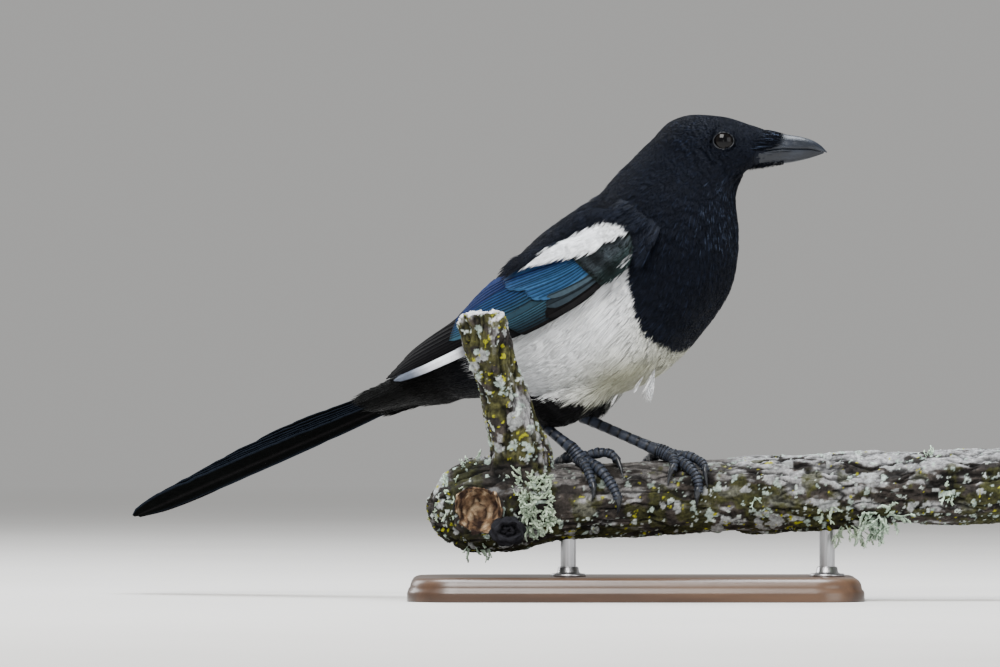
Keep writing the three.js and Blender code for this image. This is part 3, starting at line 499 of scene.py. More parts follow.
def material(name, roughness=0.5, metallic=0.0, **sockets):
    made = bpy.data.materials.new(name)
    made.use_nodes = True
    shader = made.node_tree.nodes["Principled BSDF"]
    shader.inputs["Roughness"].default_value = roughness
    shader.inputs["Metallic"].default_value = metallic
    for key, value in sockets.items():
        shader.inputs[key.replace("_", " ")].default_value = value
    return made, made.node_tree, shader


def add_node(tree, kind, links=None, **settings):
    """A node with its settings, and its inputs given as numbers or as other nodes' outputs."""
    made = tree.nodes.new("ShaderNode" + kind)
    for key, value in settings.items():
        setattr(made, key, value)
    for key, value in (links or {}).items():
        socket = made.inputs[key]
        if isinstance(value, bpy.types.NodeSocket):
            tree.links.new(value, socket)
        else:
            socket.default_value = value
    return made


def place(tree):
    return add_node(tree, "TexCoord").outputs["Object"]


def noise_node(tree, scale, detail=4, stretch=None, rough_part=0.55):
    """Noise over the object's own coordinates, in metres; stretch lengthens it along an axis."""
    vector = place(tree)
    if stretch:
        vector = add_node(tree, "Mapping", {"Vector": vector, "Scale": stretch}).outputs[0]
    return add_node(
        tree, "TexNoise", {"Vector": vector, "Scale": scale, "Detail": detail, "Roughness": rough_part}
    ).outputs[0]


def ramp(tree, factor, stops):
    """Colours by a factor: stops are (place, colour)."""
    made = add_node(tree, "ValToRGB", {"Fac": factor})
    elements = made.color_ramp.elements
    while len(elements) < len(stops):
        elements.new(0.5)
    for element, (at, colour) in zip(elements, stops):
        element.position = at
        element.color = (*colour, 1)
    return made.outputs[0]


def mix(tree, factor, a, b, kind="MIX"):
    made = tree.nodes.new("ShaderNodeMix")
    made.data_type = "RGBA"
    made.blend_type = kind
    for socket, value in ((made.inputs[0], factor), (made.inputs[6], a), (made.inputs[7], b)):
        if isinstance(value, bpy.types.NodeSocket):
            tree.links.new(value, socket)
        elif socket.type == "RGBA":
            socket.default_value = (*value, 1)
        else:
            socket.default_value = value
    return made.outputs[2]


def bump(tree, shader, height, strength, distance):
    made = add_node(tree, "Bump", {"Height": height, "Strength": strength, "Distance": distance})
    tree.links.new(made.outputs[0], shader.inputs["Normal"])


def tinted(tree):
    return add_node(tree, "Attribute", attribute_name="tint").outputs["Color"]


def plumage(name, roughness, metallic, variation, barbs=False, **sockets):
    """Feathers: the pieces' own tints, slightly mottled, with a fine bump or the lines of barbs."""
    made, tree, shader = material(name, roughness, metallic, **sockets)
    mottle = ramp(tree, noise_node(tree, 350, 3), [(0.3, (1 - variation,) * 3), (0.7, (1 + variation,) * 3)])
    tree.links.new(mix(tree, 1.0, tinted(tree), mottle, "MULTIPLY"), shader.inputs["Base Color"])
    if barbs:
        along = add_node(tree, "Attribute", attribute_name="tint").outputs["Alpha"]
        turn = add_node(tree, "Math", {0: along, 1: BARB_TURN}, operation="MULTIPLY").outputs[0]
        wave = add_node(tree, "Math", {0: turn}, operation="SINE").outputs[0]
        bump(tree, shader, wave, 0.3, 0.00015)
    else:
        bump(tree, shader, noise_node(tree, 1500, 2), 0.2, 0.0003)
    return made


BARB_STEP = 0.75
BARB_SCALE = 0.01
BARB_TURN = 2 * math.pi / BARB_STEP / BARB_SCALE


def paint_all():
    made = {}
    made["black"] = plumage("black_plumage", 0.55, 0.0, 0.2, Specular_IOR_Level=0.08)
    made["white"] = plumage("white_plumage", 0.9, 0.0, 0.03, Specular_IOR_Level=0.1)
    made["wing"] = plumage("wing_gloss", 0.55, 0.0, 0.12, True, Specular_IOR_Level=0.03)
    made["tail"] = plumage("tail_gloss", 0.8, 0.0, 0.2, True, Specular_IOR_Level=0.0)
    made["horn"] = horn_material()
    made["leg"] = leg_material()
    made["claw"] = claw_material()
    made["eye"] = eye_material()
    made["lid"] = lid_material()
    made["bark"] = bark_material()
    made["lichen"] = lichen_material()
    made["base"] = base_material()
    made["rod"] = rod_material()
    made["floor"] = floor_material()
    return made


def horn_material():
    made, tree, shader = material("bill_horn", 0.34, Specular_IOR_Level=0.36)
    fine = noise_node(tree, 140, 6, (0.6, 1, 1.6))
    colour = ramp(
        tree, fine,
        [(0.3, (0.005, 0.0065, 0.01)), (0.55, (0.01, 0.013, 0.02)), (0.72, (0.02, 0.025, 0.036)),
         (0.88, (0.08, 0.078, 0.07))],
    )
    tree.links.new(colour, shader.inputs["Base Color"])
    bump(tree, shader, noise_node(tree, 900, 5, (0.4, 1, 2)), 0.3, 0.0003)
    return made


def leg_material():
    made, tree, shader = material("leg_skin", 0.42, Specular_IOR_Level=0.28)
    colour = ramp(
        tree, noise_node(tree, 260, 4), [(0.3, (0.01, 0.012, 0.018)), (0.7, (0.026, 0.032, 0.048))]
    )
    tree.links.new(mix(tree, 1.0, colour, tinted(tree), "MULTIPLY"), shader.inputs["Base Color"])
    bump(tree, shader, noise_node(tree, 1400, 3), 0.3, 0.0003)
    return made


def claw_material():
    made, tree, shader = material("claw_horn", 0.32, Specular_IOR_Level=0.4)
    colour = ramp(
        tree, noise_node(tree, 400, 3), [(0.3, (0.006, 0.007, 0.009)), (0.75, (0.022, 0.025, 0.032))]
    )
    tree.links.new(colour, shader.inputs["Base Color"])
    bump(tree, shader, noise_node(tree, 1200, 2), 0.2, 0.0002)
    return made


def eye_material():
    made, tree, shader = material("eye_wet", 0.05, IOR=1.36, Specular_IOR_Level=0.3)
    tree.links.new(tinted(tree), shader.inputs["Base Color"])
    bump(tree, shader, noise_node(tree, 200, 1), 0.01, 0.0001)
    return made


def lid_material():
    made, tree, shader = material("eyelid_skin", 0.4)
    colour = ramp(
        tree, noise_node(tree, 900, 3), [(0.35, (0.005, 0.006, 0.008)), (0.7, (0.026, 0.03, 0.038))]
    )
    tree.links.new(colour, shader.inputs["Base Color"])
    bump(tree, shader, noise_node(tree, 2500, 2), 0.4, 0.0002)
    return made


def bark_material():
    made, tree, shader = material("bark", 0.92, Specular_IOR_Level=0.2)
    fine = ramp(
        tree, noise_node(tree, 650, 8, None, 0.7),
        [(0.25, (0.35, 0.34, 0.33)), (0.5, (0.9, 0.9, 0.9)), (0.75, (1.5, 1.5, 1.48))],
    )
    tree.links.new(mix(tree, 1.0, tinted(tree), fine, "MULTIPLY"), shader.inputs["Base Color"])
    bump(tree, shader, noise_node(tree, 700, 8, None, 0.7), 0.5, 0.001)
    return made


def lichen_material():
    made, tree, shader = material("lichen", 0.95, Specular_IOR_Level=0.15)
    mottle = ramp(tree, noise_node(tree, 600, 4), [(0.3, (0.62, 0.66, 0.6)), (0.7, (1.1, 1.1, 1.1))])
    tree.links.new(mix(tree, 1.0, tinted(tree), mottle, "MULTIPLY"), shader.inputs["Base Color"])
    bump(tree, shader, noise_node(tree, 1500, 4), 0.5, 0.0004)
    return made


def base_material():
    made, tree, shader = material("dark_varnished_wood", 0.38, Coat_Weight=0.35, Coat_Roughness=0.22)
    grain = noise_node(tree, 40, 8, (0.12, 1.6, 1), 0.62)
    colour = ramp(
        tree, grain,
        [(0.3, (0.02, 0.009, 0.004)), (0.5, (0.05, 0.024, 0.012)), (0.7, (0.1, 0.052, 0.027))],
    )
    tree.links.new(colour, shader.inputs["Base Color"])
    bump(tree, shader, noise_node(tree, 160, 6, (0.1, 2.2, 1)), 0.15, 0.0003)
    return made


def rod_material():
    made, tree, shader = material("brushed_steel", 0.32, 1.0)
    fine = noise_node(tree, 900, 3, (1, 1, 0.02))
    colour = ramp(tree, fine, [(0.3, (0.36, 0.36, 0.37)), (0.7, (0.56, 0.56, 0.58))])
    tree.links.new(colour, shader.inputs["Base Color"])
    bump(tree, shader, fine, 0.12, 0.0002)
    return made


FLOOR_FADE = 5.0
ROOM_TINT = (0.7, 0.695, 0.68, 1)
ROOM_LIGHT = 0.6


def floor_material():
    """Plain and pale below the model, and as bright as the room far away, where no edge shows."""
    made, tree, shader = material("pale_floor", 0.8, Specular_IOR_Level=0.0)
    colour = ramp(tree, noise_node(tree, 3, 2), [(0.3, (0.5, 0.485, 0.465)), (0.7, (0.53, 0.515, 0.495))])
    reach = add_node(tree, "VectorMath", {0: place(tree)}, operation="LENGTH").outputs["Value"]
    share = add_node(tree, "Math", {0: reach, 1: FLOOR_FADE}, operation="DIVIDE").outputs[0]
    fade = ramp(tree, share, [(0.1, (0, 0, 0)), (0.9, (1, 1, 1))])
    tree.links.new(mix(tree, fade, colour, (0, 0, 0)), shader.inputs["Base Color"])
    shader.inputs["Emission Color"].default_value = ROOM_TINT
    glow = add_node(tree, "Math", {0: fade, 1: ROOM_LIGHT}, operation="MULTIPLY").outputs[0]
    tree.links.new(glow, shader.inputs["Emission Strength"])
    return made


# The skin


def thigh_line(leg, t):
    return bezier(*leg["line"], t)


def thigh_radius(leg, t):
    wide, narrow = leg["thigh"]
    return through(
        [[0, wide * 0.6], [0.2, wide * 0.95], [0.5, wide], [0.8, narrow * 1.3], [1, narrow * 0.8]]
    )(t)


COAT_DEPTH = through([[2, 2], [6, 2.4], [9, 1.8], [11, 1], [13, 0.5], [15, 0.3]])
SKIN_VOXEL = 1.0


def sphere_points(place_at, radius, rings=24, sides=40):
    a = np.linspace(0, math.pi, rings)[:, None]
    b = np.linspace(0, 2 * math.pi, sides, endpoint=False)[None]
    ball = np.stack([np.sin(a) * np.cos(b), np.cos(a) * np.ones_like(b), np.sin(a) * np.sin(b)], -1)
    return np.asarray(place_at, float) + radius * ball


def eye_place(side):
    return np.array([EYE_X, BILL_Y + side * EYE_FROM_MIDDLE, EYE_Z])


def tail_frame():
    """The tail's root, with its directions back, to the left and up."""
    yaw, pitch = math.radians(BODY_YAW), math.radians(TAIL_PITCH)
    root = centre(TAIL_BASE - 0.02) + np.array([0, 0, -TAIL_DROP])
    back = np.array(
        [-math.cos(yaw) * math.cos(pitch), math.sin(yaw) * math.cos(pitch), -math.sin(pitch)]
    )
    level = np.array([math.sin(yaw), math.cos(yaw), 0])
    up = unit(-np.cross(level, back))
    roll = math.radians(TAIL_ROLL)
    left = level * math.cos(roll) + np.cross(back, level) * math.sin(roll)
    top = up * math.cos(roll) + np.cross(back, up) * math.sin(roll)
    return root, back, left, top


TAIL_ROOT, TAIL_BACK, TAIL_LEFT, TAIL_TOP = tail_frame()


def on_tail(back, left, up):
    back, left, up = np.broadcast_arrays(*(np.asarray(v, float) for v in (back, left, up)))
    return (
        TAIL_ROOT
        + TAIL_BACK * back[..., None]
        + TAIL_LEFT * left[..., None]
        + TAIL_TOP * (up - TAIL_CAMBER * left * left)[..., None]
    )


PLUG_REACH = 46


def tail_plug_rings():
    t = np.linspace(-0.25, 1, 24)[:, None]
    a = np.linspace(0, 2 * math.pi, 32, endpoint=False)[None]
    ahead = np.clip(t, 0, 1)
    wide = lerp(12.6, 14.5, ahead)
    tall = lerp(11.6, 1.4, ahead**0.75)
    return on_tail(PLUG_REACH * t, wide * np.cos(a), -0.8 * ahead + tall * np.sin(a))


def make_skin():
    """One closed skin over head, neck, body, thighs and the tail's root, a coat's depth inside them."""
    pile = Pile()
    s = np.linspace(TAIL_BASE, BILL, 240)[:, None]
    a = np.linspace(0, 360, 120, endpoint=False)[None]
    pile.loft(on_section(s, a, 1, "body", -COAT_DEPTH(s)))
    pile.loft(tail_plug_rings())
    for leg in LEGS.values():
        t = np.linspace(0, 1, 30)
        pile.loft(tube_rings(thigh_line(leg, t), thigh_radius(leg, t)[:, None] - 1.6, 24))
    for side in SIDES.values():
        pile.loft(sphere_points(eye_place(side), EYE_RADIUS + 0.4))
    made = new_object("skin", pile)
    remesh = made.modifiers.new("remesh", "REMESH")
    remesh.mode = "VOXEL"
    remesh.voxel_size = SKIN_VOXEL * MM
    relax = made.modifiers.new("relax", "SMOOTH")
    relax.iterations = 4
    apply_modifiers(made)
    return made


def apply_modifiers(made):
    graph = bpy.context.evaluated_depsgraph_get()
    baked = bpy.data.meshes.new_from_object(made.evaluated_get(graph))
    old = made.data
    made.modifiers.clear()
    made.data = baked
    bpy.data.meshes.remove(old)


def mesh_points(made):
    flat = np.empty(len(made.data.vertices) * 3, np.float32)
    made.data.vertices.foreach_get("co", flat)
    return flat.reshape(-1, 3).astype(float) / MM


def set_points(made, points):
    made.data.vertices.foreach_set("co", (points * MM).astype(np.float32).ravel())
    made.data.update()


class Chart:
    """Finds the station and angle of any place near the body."""

    def __init__(self):
        s = np.linspace(TAIL_BASE - 1.5, BILL, 260)
        a = np.linspace(-90, 90, 73)
        keys, points = [], []
        for side in (-1, 1):
            grid_s, grid_a = np.meshgrid(s, a, indexing="ij")
            points.append(on_section(grid_s, grid_a, side).reshape(-1, 3))
            keys.append(np.stack([grid_s.ravel(), grid_a.ravel(), np.full(grid_s.size, side)], -1))
        self.keys, self.points = np.concatenate(keys), np.concatenate(points)
        self.tree = KDTree(len(self.points))
        for i, p in enumerate(self.points):
            self.tree.insert(p, i)
        self.tree.balance()

    def find(self, points):
        """Station, angle and side of each point, and how far it stands out of the body."""
        found = np.array([self.tree.find(p)[1] for p in points])
        s, angle, side = self.keys[found].T
        out = unit(self.points[found] - centre(s))
        return s, angle, side, ((points - self.points[found]) * out).sum(1)


def flow_at(s, angle, side):
    """The way the feathers lie, towards the tail."""
    s = np.clip(s, TAIL_BASE - 1, BILL)
    ahead = on_section(np.clip(s + 0.05, 0, BILL), angle, side)
    behind = on_section(np.clip(s - 0.05, 0, BILL), angle, side)
    return unit(behind - ahead)


def eye_share(points):
    """1 on the rim of the eye's opening, less inside it and more outside, and the eye's side."""
    side = np.sign(points[:, 1] - BILL_Y)
    wide, tall = LID_OPENING
    return np.hypot((points[:, 0] - EYE_X) / wide, (points[:, 2] - EYE_Z) / tall), side


def open_eyes(made):
    """Sinks the skin below the eyeball inside the lids and lets it dip to meet them."""
    points = mesh_points(made)
    share, side = eye_share(points)
    beside = np.abs(points[:, 1] - BILL_Y) > 5
    near = beside & (share < 1.9) & (np.abs(points[:, 0] - EYE_X) < 12)
    place_at = np.stack(
        [np.full(len(points), EYE_X), BILL_Y + side * EYE_FROM_MIDDLE, np.full(len(points), EYE_Z)], -1
    )
    flat = np.hypot(points[:, 0] - EYE_X, points[:, 2] - EYE_Z)
    reach = EYE_RADIUS + 0.25
    on_ball = np.sqrt(np.maximum(reach**2 - flat**2, 0))
    ball_y = place_at[:, 1] + side * on_ball
    blend = smoothstep(1.0, 1.8, share)
    dipped = np.where(flat < reach, lerp(ball_y, points[:, 1], blend), points[:, 1])
    points[:, 1] = np.where(near & (share >= 1), dipped, points[:, 1])
    sunk = near & (share < 1)
    hidden = place_at[:, 1] + side * (on_ball - 2.2 * smoothstep(1, 0.8, share))
    points[:, 1] = np.where(sunk, hidden, points[:, 1])
    set_points(made, points)


# The coat: small feathers as fans of fine blades

STOPS_LONG = np.array([0, 0.42, 0.84, 1])
STOPS_SHORT = np.array([0, 0.6, 1])
STOPS_FINE = np.array([0, 0.25, 0.5, 0.75, 1])
COAT_LIMIT = 185000
FEATHER_LENGTH = through([[2, 20], [5, 21], [7, 16], [8.5, 12], [10, 9], [11.5, 7], [13, 5], [15, 3.6]])
FEATHER_HALF = through(
    [[2, 3.6], [5, 3.6], [7, 3.2], [8.5, 2.6], [10, 1.9], [11.5, 1.4], [13, 0.9], [15, 0.6]]
)
FEATHER_SPACE = through(
    [[2, 3.5], [5, 3.3], [7, 2.9], [8.5, 2.2], [10, 1.5], [11.5, 1.1], [13, 0.8], [15, 0.6]]
)
LID_MARGIN = 1.12
ROOT_CANDIDATES = 110000
BAKE_PATCH = 0.003


class Surface:
    """The skin as a surface to root feathers on and to lay them along."""

    def __init__(self, made):
        made.data.calc_loop_triangles()
        triangles = np.empty(len(made.data.loop_triangles) * 3, np.int32)
        made.data.loop_triangles.foreach_get("vertices", triangles)
        self.points = mesh_points(made)
        self.triangles = triangles.reshape(-1, 3)
        self.tree = BVHTree.FromPolygons(self.points.tolist(), self.triangles.tolist())
        a, b, c = (self.points[self.triangles[:, k]] for k in range(3))
        crossed = np.cross(b - a, c - a)
        self.areas = np.linalg.norm(crossed, axis=1) / 2
        self.face_normals = unit(crossed)

    def scatter(self, count, seed):
        """Random places on the skin, with their normals."""
        random = np.random.default_rng(seed)
        chosen = random.choice(len(self.areas), count, p=self.areas / self.areas.sum())
        u, v = random.random((2, count))
        flip = u + v > 1
        u[flip], v[flip] = 1 - u[flip], 1 - v[flip]
        a, b, c = (self.points[self.triangles[chosen, k]] for k in range(3))
        return a + (b - a) * u[:, None] + (c - a) * v[:, None], self.face_normals[chosen]

    def nearest(self, points):
        found = [self.tree.find_nearest(p) for p in points]
        return np.array([f[0] for f in found]), np.array([f[1] for f in found])


def thin_out(points, radii):
    """Keeps places that are no nearer to a kept one than their radius."""
    cell = float(radii.max())
    kept, grid = [], {}
    steps = list(np.ndindex(3, 3, 3))
    rows = points.tolist()
    for i, ((x, y, z), r) in enumerate(zip(rows, radii)):
        key = (int(x // cell), int(y // cell), int(z // cell))
        around = ((key[0] + d[0] - 1, key[1] + d[1] - 1, key[2] + d[2] - 1) for d in steps)
        near = (q for place_key in around for q in grid.get(place_key, ()))
        if all((q[0] - x) ** 2 + (q[1] - y) ** 2 + (q[2] - z) ** 2 > r * r for q in near):
            kept.append(i)
            grid.setdefault(key, []).append((x, y, z))
    return np.array(kept)


def past_the_eye(points):
    """Moves places out of the eye's opening, so that feathers part round it."""
    share, side = eye_share(points)
    over_it = (share < LID_MARGIN) & (points[:, 0] > EYE_X - 9)
    push = np.where(over_it, LID_MARGIN / np.maximum(share, 0.2), 1)
    moved = points.copy()
    moved[:, 0] = EYE_X + (points[:, 0] - EYE_X) * push
    moved[:, 2] = EYE_Z + (points[:, 2] - EYE_Z) * push
    return moved


def lay_spines(surface, roots, normals, flow, length, steps=4):
    """Each feather's line along the skin: its points, normals and side directions."""
    points, ups = [roots], [normals]
    ways = [unit(flow - normals * (flow * normals).sum(-1, keepdims=True))]
    for _ in range(steps):
        ahead = past_the_eye(points[-1] + ways[-1] * (length / steps)[:, None])
        at, up = surface.nearest(ahead)
        up = unit(0.5 * up + 0.5 * ups[-1])
        way = ways[-1] - up * (ways[-1] * up).sum(-1, keepdims=True)
        points.append(at)
        ups.append(up)
        ways.append(unit(way))
    points, ups, ways = (np.stack(v, 1) for v in (points, ups, ways))
    return points, ups, np.cross(ups, ways)


def surface_spines(place_on, starts, ends, steps=4):
    """Feathers' lines on a surface place_on(u, w, lift) from starts to ends, given as [u, w]."""
    starts, ends = np.asarray(starts, float), np.asarray(ends, float)
    t = np.linspace(0, 1, steps + 1)
    u = lerp(starts[:, :1], ends[:, :1], t)
    w = lerp(starts[:, 1:], ends[:, 1:], t)
    points = place_on(u, w, 0.0)
    ways = unit(np.gradient(points, axis=1))
    ups = unit(place_on(u, w, 1.0) - points)
    sides = unit(np.cross(ups, ways))
    return points, np.cross(ways, sides), sides


def along_spine(values, t):
    """Values of each feather's line at shares t of its length, for (feathers, blades, stops)."""
    last = values.shape[1] - 1
    place_at = np.clip(t, 0, 1) * last
    i = np.minimum(place_at.astype(int), last - 1)
    rows = np.arange(len(values))[:, None, None]
    part = (place_at - i)[..., None]
    return values[rows, i] * (1 - part) + values[rows, i + 1] * part


def fans(
    spines, half, blades, depth, paint, uv, seed, stops=STOPS_LONG, ragged=0.06, fan=1.0, loose=1.0
):
    """Feathers that are fans of three-sided blades: their points, colours and bake places."""
    points, ups, sides = spines
    random = np.random.default_rng(seed)
    n = len(points)
    half = half[:, None, None]
    j = np.linspace(-1, 1, blades)[None, :] + random.normal(0, 0.3 / blades, (n, blades))
    reach = 1 - 0.2 * j * j + random.normal(0, ragged, (n, blades))
    start = 0.15 * random.random((n, blades))
    t = lerp(start[..., None], reach[..., None], stops)
    opened = lerp(1, 0.25 + 0.95 * np.sin(np.clip(t, 0, 1.05) * 1.75), fan)
    spread = half * j[..., None] * opened
    wander = loose * random.normal(0, 0.16, (n, blades, 1)) * half / 4 * stops
    rise = depth[:, None, None] * np.clip(t / lerp(0.4, 1, min(1, loose)), 0, 1) ** 0.75
    rise = rise + loose * random.normal(0, 0.07, (n, blades, 1)) * stops - 0.25 * (1 - stops)
    middle = along_spine(points, t)
    up, side = along_spine(ups, t), along_spine(sides, t)
    middle = middle + side * (spread + wander)[..., None] + up * rise[..., None]
    taper = np.interp(stops, [0, 0.42, 0.84, 1], [0.6, 1, 0.85, 0])
    thick = half / blades * 1.25 * taper
    left = middle - side * thick[..., None]
    right = middle + side * thick[..., None]
    ridge = middle + up * (thick * lerp(0.15, 0.4, loose))[..., None]
    rings = len(stops) - 1
    body = np.stack([left, right, ridge], 3)[:, :, :rings]
    tips = middle[:, :, rings:].reshape(-1, 1, 3)
    made = np.concatenate([body.reshape(n * blades, rings * 3, 3), tips], 1)
    draws = int(random.integers(1, 2**31))
    shades = [
        paint(middle[:, :, k].reshape(-1, 3), np.random.default_rng(draws)) for k in range(rings)
    ]
    colours = np.concatenate([np.repeat(np.stack(shades, 1), 3, axis=1), shades[-1][:, None]], 1)
    patch = np.stack([np.tile([0, 1, 0.5], rings), np.repeat(stops[:-1], 3)], -1)
    patch = np.concatenate([patch, [[0.5, 1]]]) * BAKE_PATCH
    places = np.repeat(uv, blades, axis=0)[:, None] + patch
    return made, np.clip(colours, 0, 1), places


def blade_faces(rings):
    faces = [[0, 2, 1]]
    for ring in range(0, 3 * (rings - 1), 3):
        for a, b in ((0, 1), (1, 2), (2, 0)):
            faces += [[ring + a, ring + b, ring + 3 + b], [ring + a, ring + 3 + b, ring + 3 + a]]
    last, tip = 3 * (rings - 1), 3 * rings
    faces += [[last, last + 1, tip], [last + 1, last + 2, tip], [last + 2, last, tip]]
    return np.array(faces)


def coat_pieces(name, blades, material_used, slot):
    """Splits many blades into pieces under the limit of triangles for one piece."""
    points, colours, places = blades
    per_blade = points.shape[1]
    pattern = blade_faces((per_blade - 1) // 3)
    if volume(points[0], pattern) < 0:
        pattern = pattern[:, ::-1]
    pieces = math.ceil(len(points) * len(pattern) / COAT_LIMIT)
    for k, chunk in enumerate(np.array_split(np.arange(len(points)), pieces)):
        faces = (pattern[None] + per_blade * np.arange(len(chunk))[:, None, None]).reshape(-1, 3)
        label = name if pieces == 1 else f"{name}_{k + 1}"
        mesh_object(
            label, points[chunk].reshape(-1, 3), faces, material_used, slot,
            tint=colours[chunk].reshape(-1, 3), uv=places[chunk].reshape(-1, 2),
        )


def bake_place(s, angle, side):
    """The skin's own unwrap: stations along u and the way round along v."""
    turn = np.where(side > 0, 90 - angle, 270 + angle) / 360
    return np.stack([0.02 + 0.95 * np.clip(s, 0, BILL) / BILL, 0.02 + 0.95 * turn], -1)


def back_of(s):
    """The distance back from the breast of a station."""
    return np.interp(-np.asarray(s, float), -BACK_STATIONS, BACK_SUM) - BREAST_BACK


def is_under_wing(s, angle):
    """True where the folded wing and the scapulars hide the body."""
    back = back_of(s)
    low = through([[-6, 5], [0, -1], [11, -5], [30, -4], [56, -2], [86, 0], [124, 8]])(back)
    top = through([[-6, 12], [0, 22], [10, 31], [40, 33], [70, 34], [84, 38], [124, 42]])(back)
    return (back > -4) & (back < 116) & (angle > low) & (angle < top)


def thigh_share(points, out):
    """Which points lie on a thigh clear of the body, and the thigh's direction there."""
    share = np.zeros(len(points), bool)
    flow = np.zeros_like(points)
    t = np.linspace(0.0, 1, 40)
    for leg in LEGS.values():
        line = thigh_line(leg, t)
        gaps = np.linalg.norm(points[:, None] - line[None], axis=2)
        near = gaps.argmin(1)
        close = (gaps.min(1) < thigh_radius(leg, t[near]) + 1.5) & (out > -1.5) & (points[:, 2] < 125)
        tangent = unit(np.gradient(line, axis=0))[near]
        share |= close
        flow = np.where(close[:, None], tangent, flow)
    return share, flow


def plumage_paint(chart, thigh=False):
    """The colours of blades by where on the bird they lie."""

    def paint(points, random):
        s, angle, _, _ = chart.find(points)
        dark = black_tints(points, s, angle, random)
        white = whiteness(s, angle)[:, None] > random.random((len(points), 1))
        # Low on the body and towards the vent the white turns darker and yellowish: partly soiling and partly
        # painted shade on the underside. About a sixth of the blades are also painted darker, a painted shade
        # between the hairs.
        shade = smoothstep(-20, -75, angle) + 0.22 * noise(points, 16, 9)
        soil_and_shade = (np.clip(shade, 0, 1) * smoothstep(3.4, 4.6, s))[:, None]
        shaded = np.where(random.random((len(points), 1)) < 0.16, 0.8, 1.0)
        fringe = np.interp(points[:, 0], *np.array(THIGH_FRINGE).T) + random.normal(0, 1.1, len(points))
        hair = THIGH_TINT * np.exp(random.normal(0, 0.4, (len(points), 1)))
        pale = lerp(WHITE, SOIL_AND_SHADE_TINT, soil_and_shade) * random.normal(1, 0.04, (len(points), 1)) * shaded
        if thigh:
            return np.where((points[:, 2] > fringe)[:, None], pale, hair)
        hidden = (points[:, 2] < fringe - 1.5) & (points[:, 0] < THIGH_FRINGE[-1][0])
        return np.where(white & ~hidden[:, None], pale, np.where(white, hair, dark))

    return paint


def make_coat(surface, chart, paints):
    density = 1.0
    candidates, normals = surface.scatter(ROOT_CANDIDATES, 11)
    s, angle, side, out = chart.find(candidates)
    share, _ = eye_share(candidates)
    allowed = (s > TAIL_BASE + 0.05) & (share > LID_MARGIN)
    allowed = allowed & ~is_under_wing(s, angle) & off_the_gape(candidates)
    candidates, normals, s, angle, side, out = (
        v[allowed] for v in (candidates, normals, s, angle, side, out)
    )
    on_thigh, thigh_flow = thigh_share(candidates, out)
    spacing = np.where(on_thigh, 2.0, FEATHER_SPACE(s))
    kept = thin_out(candidates, spacing / math.sqrt(density))
    roots, normals, s, angle, side, on_thigh, thigh_flow = (
        v[kept] for v in (candidates, normals, s, angle, side, on_thigh, thigh_flow)
    )
    flow = np.where(on_thigh[:, None], thigh_flow, flow_at(s, angle, side))
    random = np.random.default_rng(5)
    flow = unit(flow + random.normal(0, 0.03, flow.shape) + np.array([0, 0, -0.04]))
    flow = unit(flow + throat_share(roots)[:, None] * np.array([0.25, 0, -0.75]))
    length = FEATHER_LENGTH(s) * random.uniform(0.88, 1.12, len(s))
    from_edge = s - BIB(np.clip(angle, -95, 0))
    near_edge = smoothstep(-0.25, 0.0, from_edge) * smoothstep(0.75, 0.4, from_edge) * (angle < 0)
    length = length * (1 - 0.52 * near_edge)
    length = np.where(on_thigh, 9.0 * random.uniform(0.8, 1.2, len(s)), length)
    low_belly = (s < BREAST - 1) & (angle < -45) & (s > 3.4)
    length = np.where(low_belly & ~on_thigh, length * 0.85, length)
    eye_near = np.hypot(roots[:, 0] - EYE_X, roots[:, 2] - EYE_Z) < 9
    length = np.where(eye_near & (s > 10), np.minimum(length, 3.6), length)
    half = np.where(on_thigh, 1.6, FEATHER_HALF(s))
    white = (whiteness(s, angle) > 0.5) & ~on_thigh
    bib_edge = (near_edge > 0.15) & ~on_thigh & (s > VENT(np.clip(angle, -95, 0)) + 0.5)
    lift = np.where(s > 11, 0.1, 0.3) * random.uniform(0.4, 1.2, len(s))
    lift = np.where(white, 0.12, lift)
    silky = white & ~bib_edge
    length = np.where(silky, length * 1.4, length)
    half = np.where(silky, half * 0.62, np.where(bib_edge, half * 0.7, half))
    depth = np.where(on_thigh, 1.2, COAT_DEPTH(s)) + lift
    uv = bake_place(s, angle, side)
    black = ~white & ~on_thigh
    regions = {
        "coat_head": (black & (s > 10.6), 7, "black", "black_feathers", STOPS_SHORT, 0.5),
        "coat_neck": (black & (s <= 10.6) & (s > 8), 15, "black", "black_feathers", STOPS_LONG, 0.6),
        "coat_body": (black & (s <= 8) & ~bib_edge, 18, "black", "black_feathers", STOPS_LONG, 0.8),
        "coat_belly": (silky, 15, "white", "belly", STOPS_LONG, 0.5),
        "coat_bib_edge": (bib_edge, 14, "black", "black_feathers", STOPS_FINE, 0.3),
        "coat_thighs": (on_thigh, 10, "black", "black_feathers", STOPS_LONG, 1.0),
    }
    for k, (name, (chosen, blades, paint_name, slot, stops, loose)) in enumerate(regions.items()):
        spines = lay_spines(surface, roots[chosen], normals[chosen], flow[chosen], length[chosen])
        made = fans(
            spines, half[chosen], blades, depth[chosen], plumage_paint(chart, name == "coat_thighs"),
            uv[chosen], 100 + k, stops, loose=loose,
            fan=0.0 if paint_name == "white" else min(1.0, 0.2 + loose),
            ragged=0.3 if loose < 0.55 and blades > 10 else 0.07,
        )
        coat_pieces(name, made, paints[paint_name], slot)


def off_the_gape(points):
    """False on the bare base of the lower bill."""
    x, z = points[:, 0], points[:, 2]
    top = np.interp(x, [59.5, 67.5], [227.4, 229.2])
    return ~((x > 61.5) & (z < top) & (z > 220.5))


